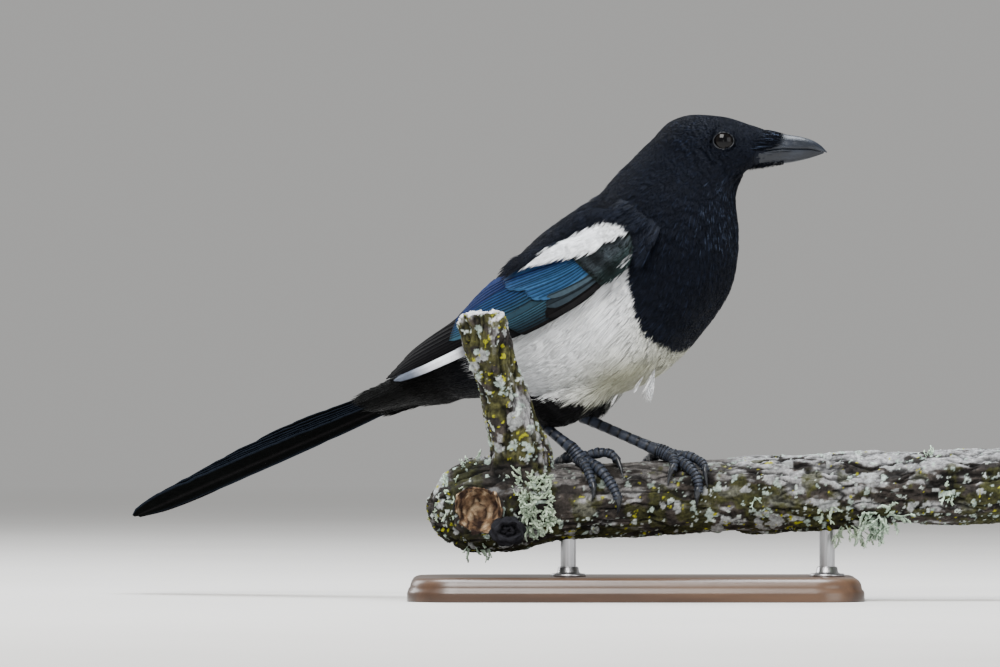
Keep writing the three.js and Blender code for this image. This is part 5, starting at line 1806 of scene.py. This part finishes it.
def make_loose_feathers(paints):
    """A loose downy feather below the belly, and wispy ones beside it."""
    random = np.random.default_rng(33)
    lines = []
    for base, way, long, reach, count in (
        ((9.9, -22, 118), (-0.06, -0.1, -1), 15.5, 0.85, 110), ((4, -22, 114), (-0.5, -0.1, -1), 9, 0.6, 60),
        ((-9, -20, 105), (-0.5, -0.1, -1), 7, 0.5, 30), ((-27, -8, 103), (-0.5, -0.1, -1), 8, 0.5, 40),
    ):
        way = unit(np.array(way, float))
        side = np.array([-1.0, 0, -0.35])
        for k in range(count):
            at = random.uniform(0, 0.85)
            out = side * random.uniform(0.5, 1.3) + np.array([0, random.normal(0, 0.3), 0])
            start = np.array(base) + way * long * at
            barb = long * reach * random.uniform(0.4, 1) * (1 - 0.75 * at)
            u = BLADE_STOPS[:, None]
            lines.append(start + way * barb * u + out * barb * 0.55 * u**0.8)
        u = BLADE_STOPS[:, None]
        lines.append(np.array(base) + way * long * 0.9 * u)
    blades = face_blades(np.array(lines), 0.15, random, WHITE * 0.9)
    coat_pieces("loose_down", blades, paints["white"], "belly")


# Branch


def branch_axis(x):
    return BRANCH_AXIS_Z + BRANCH_SLOPE * x


BRANCH_SWELL = through(
    [
        [-105.5, 0.2], [-101, 0.62], [-93, 1], [-80, 1.27], [-66, 1.3], [-54, 1.18], [-44, 1.05],
        [-30, 1], [50, 0.985], [92, 1.05], [140, 0.96], [192, 1],
    ]
)
RIDGES = through([[-105.5, 1], [-58, 1], [-44, 0.3], [46, 0.3], [62, 1], [192, 1]])


def branch_radius(x, angle):
    a = np.radians(angle)
    ridges = 0.75 * np.sin(5 * a + x / 17) + 0.5 * np.sin(9 * a - x / 23) + 0.45 * np.sin(x / 8 + 2 * a)
    return BRANCH_RADIUS * BRANCH_SWELL(x) + RIDGES(x) * ridges


def on_branch(x, angle, lift=0.0):
    x, angle, lift = np.broadcast_arrays(*(np.asarray(v, float) for v in (x, angle, lift)))
    r = branch_radius(x, angle) + lift
    a = np.radians(angle)
    return np.stack([x, -r * np.sin(a), branch_axis(x) + r * np.cos(a)], -1)


STUB = [
    (-60, -5, 58, 19), (-58.5, -9, 74, 15.8), (-64, -16, 93.5, 13.4),
    (-69, -21.5, 111, 12.3), (-75.5, -26.5, 131, 12.3), (-78.6, -29, 144, 11.6),
]
BROKEN = {"place": (-77, -12, 46), "toward": (-0.25, -0.93, -0.25), "radius": 14.5, "reach": 15.5}
HOLLOW = 13.6
BARK_VOXEL = 0.68
SHELF = {"place": (-65, -30, 35.5), "size": (8.5, 5.5, 7)}


def stub_rings():
    levels = np.arange(len(STUB))
    smooth = [through(list(zip(levels, [row[k] for row in STUB]))) for k in range(4)]
    h = np.linspace(0, len(STUB) - 1, 70)[:, None]
    x, y, z, r = (curve(h) for curve in smooth)
    a = np.linspace(0, 2 * math.pi, 90, endpoint=False)[None]
    high = smoothstep(4.2, 5, h)
    torn = (2.4 * np.sin(3 * a + 1.05) + 1.3 * np.sin(7 * a) + 0.9 * np.sin(13 * a + 2)) * high
    out = r + 0.8 * np.sin(5 * a + 0.7 * h) * np.minimum(1, h)
    return np.stack([x + out * np.cos(a), y + out * 0.94 * np.sin(a), z + torn + 0 * out], -1)


def perch_shape():
    """The branch, its upright stub and its broken side as one closed mesh."""
    pile = Pile()
    x = np.linspace(BRANCH_START, BRANCH_END, 240)[:, None]
    a = np.linspace(0, 360, 120, endpoint=False)[None]
    pile.loft(on_branch(x, a))
    pile.loft(stub_rings())
    out = unit(np.array(BROKEN["toward"]))
    t = np.linspace(0, 1, 24)[:, None]
    turn = np.linspace(0, 2 * math.pi, 60, endpoint=False)[None]
    lobes = 0.09 * np.sin(3 * turn + 0.6) + 0.05 * np.sin(7 * turn + 2)
    shape = BROKEN["radius"] * (1 - 0.14 * t**2) * (1 + lobes * t)
    pile.loft(tube_rings(np.array(BROKEN["place"]) + out * BROKEN["reach"] * t, shape, 60))
    made = new_object("bark", pile)
    remesh = made.modifiers.new("remesh", "REMESH")
    remesh.mode = "VOXEL"
    remesh.voxel_size = BARK_VOXEL * MM
    apply_modifiers(made)
    return made


def new_object(name, pile):
    faces = [np.concatenate(f) for f in (pile.quads, pile.triangles) if f]
    made = bpy.data.objects.new(name, new_mesh(name, np.concatenate(pile.points), faces))
    bpy.context.scene.collection.objects.link(made)
    return made


CRUSTS = [
    # scale, threshold, softness, rise, colour, seed
    (7, 0.36, 0.04, 0.35, (0.26, 0.27, 0.27), 41),
    (4.2, 0.39, 0.03, 0.45, (0.3, 0.37, 0.33), 43),
    (2.4, 0.47, 0.03, 0.4, (0.4, 0.45, 0.42), 47),
    (2.4, 0.53, 0.02, 0.4, (0.26, 0.26, 0.01), 53),
]
BARK_DARK = np.array([0.014, 0.012, 0.011])
BARK_BROWN = np.array([0.045, 0.037, 0.032])
BARK_PALE = np.array([0.24, 0.24, 0.245])
MOSS = np.array([0.03, 0.032, 0.007])
OLIVE = np.array([0.05, 0.05, 0.014])
WOOD_DARK = np.array([0.018, 0.01, 0.008])
WOOD_BROWN = np.array([0.17, 0.1, 0.055])
WOOD_PALE = np.array([0.4, 0.3, 0.19])
SNAG_BROWN = np.array([0.2, 0.1, 0.045])
SNAG_GREY = np.array([0.45, 0.45, 0.46])
SAWN_WOOD = np.array([0.5, 0.34, 0.18])


def along_grain(points, on_stub, scale, octaves, seed):
    """Noise drawn out along the branch, and up the stub."""
    long, across = scale
    lying = rough(points, (long, across, across), octaves, seed)
    upright = rough(points, (across, across, long), octaves, seed + 11)
    return lerp(lying, upright, on_stub)


def bark_relief(points, normals, on_stub, knob, gripped):
    """Height and colour of the fissured bark."""
    bent = points + 2.6 * rough(points, 9, 3, 3)[:, None] * np.array([0.4, 1, 1])
    furrow = np.abs(along_grain(bent, on_stub, (30, 6.5), 3, 61))
    split = np.abs(along_grain(bent, on_stub, (11, 2.6), 3, 71))
    cross = np.abs(rough(bent, (5, 12, 12), 2, 81))
    flake = along_grain(bent, on_stub, (12, 4), 4, 91)
    fine = rough(points, 2.2, 3, 101)
    broad = rough(points, 15, 2, 73)
    deep = smoothstep(0.13, 0.0, furrow)
    shallow = smoothstep(0.09, 0.0, split) * 0.7 + smoothstep(0.04, 0.0, cross) * 0.35
    dark = np.clip(deep + shallow, 0, 1)
    height = 1.1 * along_grain(bent, on_stub, (26, 7), 2, 111) - 1.5 * deep - 0.5 * shallow
    height = height + 0.5 * fine + 0.45 * flake + (0.5 + 0.8 * knob) * broad
    height = height * (1 - 0.5 * gripped * (1 - on_stub))
    top = smoothstep(0.1, 0.8, normals[:, 2] + 0.3 * broad) * (1 - knob * (1 - on_stub))
    under = smoothstep(0.15, -0.45, normals[:, 2] + 0.5 * broad)
    # Pale flakes gather on the upper side and thin out underneath, by the surface's normal: a painted lighter
    # top and painted shade below.
    share = flake + 0.34 * top - 0.2 * under - 0.02 * on_stub - 0.25 * knob * (1 - on_stub)
    pale = smoothstep(0.08, 0.28, share)
    pale = pale * (1 - 0.75 * gripped * (1 - on_stub))
    tint = lerp(BARK_DARK, BARK_BROWN, smoothstep(-0.4, 0.4, flake + 0.3 * fine)[:, None])
    tint = lerp(tint, BARK_PALE * (1 + 0.45 * fine[:, None]), (0.85 * pale)[:, None])
    grown = rough(points, 9, 4, 83) + 0.22 * under + 0.2 * on_stub - 0.2 * top
    moss = smoothstep(0.06, 0.24, grown)
    tint = lerp(tint, lerp(MOSS, OLIVE, on_stub[:, None]) * (1 + 0.8 * fine[:, None]), (0.75 * moss)[:, None])
    # The furrows and splits are painted darker, down to a fifth of the bark's tint: painted shade in the
    # cracks.
    tint = tint * lerp(1.15, 0.2, dark[:, None]) * (1 + 0.4 * fine[:, None])
    return height, tint, fine, broad, under


def make_perch(paints):
    made = perch_shape()
    points = mesh_points(made)
    normals = np.empty(len(points) * 3, np.float32)
    made.data.vertices.foreach_get("normal", normals)
    normals = normals.reshape(-1, 3).astype(float)
    out = unit(np.array(BROKEN["toward"]))
    hollow = np.array(BROKEN["place"]) + out * (BROKEN["reach"] + 5.5) + np.array([1.5, 0, 4.5])
    away = points - hollow
    gap = np.linalg.norm(away, axis=1)
    edge = HOLLOW + 2.6 * rough(points, 6, 3, 17)
    inside = gap < edge
    bowl = hollow + away / np.maximum(gap, 1e-6)[:, None] * edge[:, None]
    points = np.where(inside[:, None], bowl, points)
    on_stub = smoothstep(66, 76, points[:, 2]) * (points[:, 0] < -40)
    stub_top = smoothstep(134, 141, points[:, 2]) * (normals[:, 2] > 0.45)
    knob = smoothstep(-50, -66, points[:, 0])
    under_feet = smoothstep(-62, -50, points[:, 0]) * smoothstep(56, 44, points[:, 0])
    gripped = under_feet * smoothstep(0.1, 0.5, normals[:, 2])
    height, tint, fine, broad, under = bark_relief(points, normals, on_stub, knob, gripped)
    near_knob = (knob * (1 - on_stub))[:, None]
    tint = tint * lerp(1.0, 0.55, near_knob)
    left = smoothstep(-88, -98, points[:, 0])
    for scale, threshold, soft, rise, colour, seed in CRUSTS:
        shape = rough(points, scale, 4, seed)
        spread = threshold - 0.05 * under - 0.06 * on_stub - 0.14 * left + 0.06 * near_knob[:, 0] * (1 - left)
        crust = smoothstep(spread, spread + soft, shape) * (1 - 0.6 * gripped)
        height = height + rise * crust * (0.6 + 0.8 * np.abs(fine))
        tint = lerp(tint, np.array(colour) * (1 + 0.5 * fine[:, None]), crust[:, None])
    strand = rough(points + 2 * rough(points, 5, 2, 19)[:, None], (1.5, 3, 5.5), 4, 91)
    height = np.where(inside, 2.0 * rough(points, (3, 3, 7), 4, 95) + 1.1 * strand, height)
    wood = lerp(WOOD_DARK, WOOD_BROWN, smoothstep(-0.3, 0.25, strand)[:, None])
    wood = lerp(wood, WOOD_PALE, smoothstep(0.2, 0.5, strand + 0.2 * broad)[:, None])
    rim = smoothstep(edge + 2.5, edge, gap) * ~inside
    tint = np.where(inside[:, None], wood, tint * lerp(1, 0.35, rim[:, None]))
    height = height + stub_top * (1.6 * rough(points, 3.5, 3, 97))
    snag = lerp(SNAG_BROWN, SNAG_GREY, smoothstep(-0.3, 0.1, broad + fine)[:, None])
    tint = lerp(tint, snag * (1 + 0.4 * fine[:, None]), stub_top[:, None])
    sawn = smoothstep(BRANCH_END - 0.9, BRANCH_END - 0.2, points[:, 0])
    rings_of_age = np.sin(np.hypot(points[:, 1], points[:, 2] - branch_axis(BRANCH_END)) * 3.6 + 2 * broad)
    cut_wood = SAWN_WOOD * (0.85 + 0.12 * rings_of_age)[:, None]
    tint = lerp(tint, cut_wood, sawn[:, None])
    points = points + normals * (height * (1 - sawn))[:, None]
    points[:, 0] = np.minimum(points[:, 0], BRANCH_END)
    set_points(made, points)
    paint_points(made.data, np.clip(tint, 0.003, 1))
    made.data.polygons.foreach_set("use_smooth", np.ones(len(made.data.polygons), bool))
    made.data.materials.append(paints["bark"])
    register(made, "bark", ["perch_branch"])
    make_shelf(paints)


def make_shelf(paints):
    """A dark, folded bit of bark that curls out beside the broken wood."""
    a = np.linspace(0, math.pi, 40)[:, None]
    b = np.linspace(0, 2 * math.pi, 60, endpoint=False)[None]
    ball = np.stack([np.sin(a) * np.cos(b), np.cos(a) * np.ones_like(b), np.sin(a) * np.sin(b)], -1)
    folds = 1 + 0.1 * np.sin(6 * b + 2 * np.cos(a) * 3) * np.sin(a) + 0.06 * np.sin(a * 14)
    rings = np.array(SHELF["place"]) + ball * np.array(SHELF["size"]) * folds[..., None]
    radial = np.hypot(ball[..., 0] - 0.08, (ball[..., 2] - 0.05) * 1.15) + 0.05 * np.sin(5 * b)
    dent = smoothstep(0.72, 0.5, radial) * (ball[..., 1] < 0)
    rings[..., 1] += dent * (3.8 + 1.2 * np.cos(radial * 14))
    pile = Pile()
    pile.loft(rings, np.array([0.008, 0.008, 0.011]))
    pile.make("bark_curl", paints["bark"], "bark")


LICHEN_TINT = np.array([0.46, 0.55, 0.43])


def lichen_lobe(pile, start, way, out, long, half, forks, random, tint):
    """A flat, curling ribbon that forks into smaller ones."""
    u = np.linspace(0, 1, 6)[:, None]
    side = unit(np.cross(out, way))
    bend = side * random.uniform(-0.55, 0.55) * long + out * random.uniform(-0.1, 0.45) * long
    path = start + way * long * u + bend * u**2
    tangent = unit(np.gradient(path, axis=0))
    flat = unit(np.cross(tangent, out + side * random.uniform(-0.9, 0.9)))
    thick = np.cross(flat, tangent) * 0.24
    width = half * (1 - 0.3 * u) * (1 + 0.35 * np.sin(u * 12 + random.uniform(0, 6)))
    width[-1] = half * 0.35
    ring = np.stack([path - flat * width, path + thick, path + flat * width, path - thick], 1)
    pile.loft(ring, tint * random.uniform(0.72, 1.2))
    if forks:
        for _ in range(random.integers(2, 4)):
            at = random.integers(2, 6)
            turned = unit(tangent[at] + side * random.uniform(-1.2, 1.2) + out * random.uniform(-0.3, 0.5))
            shorter = long * random.uniform(0.5, 0.75)
            lichen_lobe(pile, path[at], turned, out, shorter, half * 0.78, forks - 1, random, tint)


def lichen_tuft(pile, x, angle, spread_x, spread_angle, size, roots, forks, random, tint=LICHEN_TINT):
    """Forked lobes rooted over a patch of the bark, leaning away from its middle and down."""
    for _ in range(roots):
        ox, oa = random.uniform(-1, 1, 2)
        at = on_branch(x + spread_x * ox, angle + spread_angle * oa, -0.8)
        out = unit(at - np.array([at[0], 0, branch_axis(at[0])]))
        lean = np.array([ox * 0.8, 0, -oa * 0.8 - 0.35]) + random.normal(0, 0.45, 3)
        way = unit(lean + out * random.uniform(0.25, 1.0))
        lichen_lobe(pile, at, way, out, size * random.uniform(0.6, 1.1), size * 0.19, forks, random, tint)


def make_lichens(paints):
    random = np.random.default_rng(77)
    pale = LICHEN_TINT * np.array([1.02, 1.05, 1.1])
    tufts = {
        "lichen_front_tuft": (["perch_lichen_front"], [
            (-50, 84, 6, 26, 5.4, 52, 2, LICHEN_TINT), (-49, 112, 5, 12, 5.6, 16, 2, LICHEN_TINT),
            (-55, 120, 4, 10, 4.6, 10, 1, pale)]),
        "lichen_under_tuft": (["perch_lichen_under"], [
            (126, 142, 7, 14, 6.6, 26, 2, pale), (109, 158, 4, 8, 5.5, 9, 2, LICHEN_TINT)]),
        "lichen_small_tufts": ([], [
            (148, 26, 3, 6, 3.6, 7, 1, pale), (98, 118, 3, 8, 4.5, 7, 1, LICHEN_TINT),
            (160, 100, 3, 8, 4, 6, 1, pale), (60, 100, 3, 6, 3, 4, 1, pale),
            (-92, 60, 4, 12, 3.5, 8, 1, LICHEN_TINT), (-84, 20, 4, 12, 3, 7, 1, pale),
            (-98, 95, 3, 20, 3.2, 7, 1, LICHEN_TINT), (-60, 60, 3, 6, 3.6, 6, 1, pale),
            (-80, 150, 6, 10, 4, 8, 1, pale)]),
    }
    for name, (replaced, groups) in tufts.items():
        pile = Pile()
        for x, angle, spread_x, spread_angle, size, roots, forks, tint in groups:
            lichen_tuft(pile, x, angle, spread_x, spread_angle, size, roots, forks, random, tint)
        pile.make(name, paints["lichen"], "lichen", replaced)


# Legs and feet


def toe_line(places, t):
    x, angle, lift = bezier(*places, t).T
    return on_branch(x, angle, lift)


def scuted(path_of, radius_of, plates, sides=24, rows=10, depth=0.13, outward=(0, -0.85, 0.5)):
    """A tube whose outward side carries overlapping plates, each thick at its far edge."""
    count = plates * rows
    t = np.linspace(0, 1, count)
    part = (t * plates) % 1
    plate = depth * (part**1.3 - 0.4)
    gap = np.exp(-((np.minimum(part, 1 - part) / 0.13) ** 2))
    path = path_of(t)
    circle = tube_rings(path, 1.0, sides)
    if callable(outward):
        outward = outward(path)
    facing = ((circle - path[:, None]) * unit(np.asarray(outward, float)).reshape(-1, 1, 3)).sum(2)
    upper = np.clip(facing * 1.8 + 0.75, 0, 1)
    a = np.linspace(0, 2 * math.pi, sides, endpoint=False)
    beads = 0.05 * (np.sin(a * 6)[None] * np.sin(t * plates * 2 * math.pi)[:, None]) * (1 - upper)
    radius = radius_of(t)[:, None] * (1 + (plate - depth * gap)[:, None] * upper + beads)
    tint = lerp(1.3, 0.03, gap)[:, None] * np.ones((1, sides))
    tint = lerp(0.5, tint, upper)
    return tube_rings(path, radius, sides), np.repeat(tint[..., None], 3, 2)


def toe_radius(near, far, t):
    """Thicker at the pads under the joints."""
    return lerp(near * 1.2, far * 1.22, t) * (1 + 0.09 * np.cos(t * math.pi * 6))


def off_the_branch(path):
    """Directions from the branch's axis to the points of a path."""
    return unit(path - np.stack([path[:, 0], 0 * path[:, 0], branch_axis(path[:, 0])], -1))


def make_legs(paints):
    for name, leg in LEGS.items():
        heel, ankle = np.array(leg["line"][2], float), np.array(leg["ankle"], float)
        joint = toe_line(leg["toes"]["middle"][0], np.array([0.0]))[0] + np.array([-0.6, 0, 0.5])
        shank, foot = Pile(), Pile()
        rings, tint = scuted(
            lambda t: heel + (ankle - heel) * t[:, None],
            lambda t: lerp(3.1, 2.6, np.sin(math.pi * t) ** 0.5) + 0.5 * t**6, 8, 32, 16, 0.06,
        )
        shank.loft(rings, tint)
        shank.make(f"shank_{name}_scaled", paints["leg"], "leg", [f"shank_{name}"])
        start = ankle - unit(ankle - heel) * 2
        rings, tint = scuted(
            lambda t: bezier(start, (start + joint) / 2 + np.array([0, 0, 0.5]), joint, t),
            lambda t: lerp(3.2, 3.7, t), 5, 28, 12, 0.12,
        )
        foot.loft(rings, tint)
        foot.loft(sphere_points(joint, 3.5, 20, 24), 0.8 * np.ones(3))
        for toe_name, (places, tip) in leg["toes"].items():
            near, far = TOE_RADII[toe_name]
            plates = {"middle": 13, "outer": 10}.get(toe_name, 8)
            rings, tint = scuted(
                lambda t, places=places: toe_line(places, t),
                lambda t, near=near, far=far: toe_radius(near, far, t),
                plates, 28, 12, 0.16, off_the_branch,
            )
            foot.loft(rings, tint)
            make_claw(f"{name}_{toe_name}", places, tip, far, paints)
        foot.make(f"foot_{name}_scaled", paints["leg"], "leg", [f"foot_{name}"])


def make_claw(name, places, tip, radius, paints):
    """A curved, tapering claw, ridged above and flatter below."""
    ends = toe_line(places, np.array([0.97, 1.0]))
    along = unit(ends[1] - ends[0])
    start = ends[1] - along * 1.6
    point = on_branch(tip[0], tip[1], 0.5)
    away = unit(ends[1] - np.array([ends[1][0], 0, branch_axis(ends[1][0])]))
    bend = ends[1] + along * 3.8 + away * 2.7
    t = np.linspace(0, 1, 30)[:, None]
    path = (1 - t) ** 2 * start + 2 * t * (1 - t) * bend + t * t * point
    a = np.linspace(0, 2 * math.pi, 18, endpoint=False)[None]
    ridge = 1 + 0.12 * np.sin(a) ** 3 - 0.06 * np.cos(2 * a)
    thick = lerp(radius * 1.12, 0.15, t**1.2) * ridge
    pile = Pile()
    pile.loft(tube_rings(path, thick, 18))
    pile.make(f"claw_{name}_horn", paints["claw"], "claw", [f"claw_{name}"], coloured=False)


# Stand, floor, light and camera


def make_base(paints):
    """A board with rounded corners and a small moulded edge."""
    length, depth, height, corner = (BASE[k] for k in ("length", "depth", "height", "corner"))
    profile = [
        (0, 1.5), (0, 0.4), (0.35, 0), (4.2, 0), (5.4, 0.35), (6.2, 1.2), (7.6, 1.5), (9.2, 1.9),
        (10.6, 2.8), (11.5, 4), (12, 5.6),
    ]
    rings = [
        rounded_outline(length / 2 - inset, depth / 2 - inset, corner - inset, z * height / 12)
        for z, inset in profile
    ]
    pile = Pile()
    pile.loft(np.array(rings))
    made = pile.make("base_board", paints["base"], "base", ["stand_base"], coloured=False)
    smooth = made.modifiers.new("split", "EDGE_SPLIT")
    smooth.split_angle = math.radians(35)


def rounded_outline(half_length, half_depth, corner, z, steps=16):
    points = []
    for quarter, (sx, sy) in enumerate(((1, 1), (-1, 1), (-1, -1), (1, -1))):
        for a in np.linspace(0, math.pi / 2, steps):
            turn = a + quarter * math.pi / 2
            x = sx * (half_length - corner) + corner * math.cos(turn)
            y = sy * (half_depth - corner) + corner * math.sin(turn)
            points.append((x, y, z))
    return np.array(points)


def dress_rods(paints):
    for i in range(len(ROD_X)):
        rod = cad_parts[f"stand_rod_{i + 1}"]
        rod.data.materials.clear()
        rod.data.materials.append(paints["rod"])
        flange(f"rod_flange_{i + 1}", ROD_X[i], paints)


def flange(name, x, paints):
    """A small turned collar where a rod enters the board."""
    profile = [(9, 0), (9, 0.9), (8.4, 1.4), (6.4, 1.6), (5.6, 2.2), (5.2, 4.6), (4.6, 5)]
    z0 = BASE["height"] + 0.05
    a = np.linspace(0, 2 * math.pi, 64, endpoint=False)
    rings = [np.stack([x + r * np.cos(a), r * np.sin(a), np.full_like(a, z0 + z)], -1) for r, z in profile]
    pile = Pile()
    pile.loft(np.array(rings))
    pile.make(name, paints["rod"], "rod", coloured=False)


CAMERA = (-68.85, -6000, 135.9)
SENSOR = 36
LENS = 423.5
FAR_CLIP = 100
FLOOR_HALF = 9000


def make_studio(paints):
    corners = [(x * FLOOR_HALF, y * FLOOR_HALF, 0) for x, y in ((-1, -1), (1, -1), (1, 1), (-1, 1))]
    floor = new_mesh("floor", corners, np.array([[0, 1, 2, 3]]))
    floor.materials.append(paints["floor"])
    ground = bpy.data.objects.new("floor", floor)
    bpy.context.scene.collection.objects.link(ground)
    lamp("key_light", (-600, -1700, 1900), (0, 0, 150), 1300, 100, (1, 0.985, 0.96))
    lamp("top_light", (-100, 200, 2100), (-50, 0, 120), 1600, 135, (0.9, 0.95, 1))
    lamp("fill_light", (1600, -1500, 600), (0, 0, 150), 1300, 16, (0.96, 0.98, 1))
    lamp("rim_light", (-1400, 1300, 900), (-60, 0, 150), 900, 18, (1, 1, 1))
    world = bpy.data.worlds.new("studio")
    world.use_nodes = True
    world.node_tree.nodes["Background"].inputs[0].default_value = ROOM_TINT
    world.node_tree.nodes["Background"].inputs[1].default_value = ROOM_LIGHT
    bpy.context.scene.world = world
    view = bpy.data.cameras.new("camera")
    view.sensor_width = SENSOR
    view.lens = LENS
    view.clip_end = FAR_CLIP
    camera = bpy.data.objects.new("camera", view)
    camera.location = Vector(CAMERA) * MM
    camera.rotation_euler = (math.pi / 2, 0, 0)
    bpy.context.scene.collection.objects.link(camera)
    bpy.context.scene.camera = camera


def lamp(name, where, target, size, power, colour):
    light = bpy.data.lights.new(name, "AREA")
    light.size = size * MM
    light.energy = power
    light.color = colour
    made = bpy.data.objects.new(name, light)
    made.location = Vector(where) * MM
    aim = (Vector(target) - Vector(where)).to_track_quat("-Z", "Y")
    made.rotation_euler = aim.to_euler()
    bpy.context.scene.collection.objects.link(made)


def dress_skin(skin, chart, paints):
    """The skin's own markings, the same as its coat's."""
    points = mesh_points(skin)
    s, angle, _, out = chart.find(points)
    on_thigh, _ = thigh_share(points, out)
    white = whiteness(s, angle) * ~on_thigh
    paint_points(skin.data, lerp(BLACK, WHITE * 0.8, white[:, None]))
    skin.data.polygons.foreach_set("use_smooth", np.ones(len(skin.data.polygons), bool))
    skin.data.materials.append(paints["black"])
    register(skin, "black_feathers", ["torso", "neck", "head", "thigh_right", "thigh_left"])


def main():
    paints = paint_all()
    chart = Chart()
    skin = make_skin()
    open_eyes(skin)
    dress_skin(skin, chart, paints)
    make_coat(Surface(skin), chart, paints)
    for name, side in SIDES.items():
        make_wing(name, side, paints)
        make_patch_bed(name, side, paints)
        make_patches(name, side, chart, paints)
        make_lesser_coverts(name, side, chart, paints)
        make_breast_overlap(name, side, chart, paints)
    make_tail(paints)
    make_tail_coverts(paints)
    make_tail_wear(paints)
    make_eyes(paints)
    make_bill(paints)
    make_bristles(paints)
    make_loose_feathers(paints)
    make_legs(paints)
    make_perch(paints)
    make_lichens(paints)
    make_base(paints)
    dress_rods(paints)
    make_studio(paints)


main()
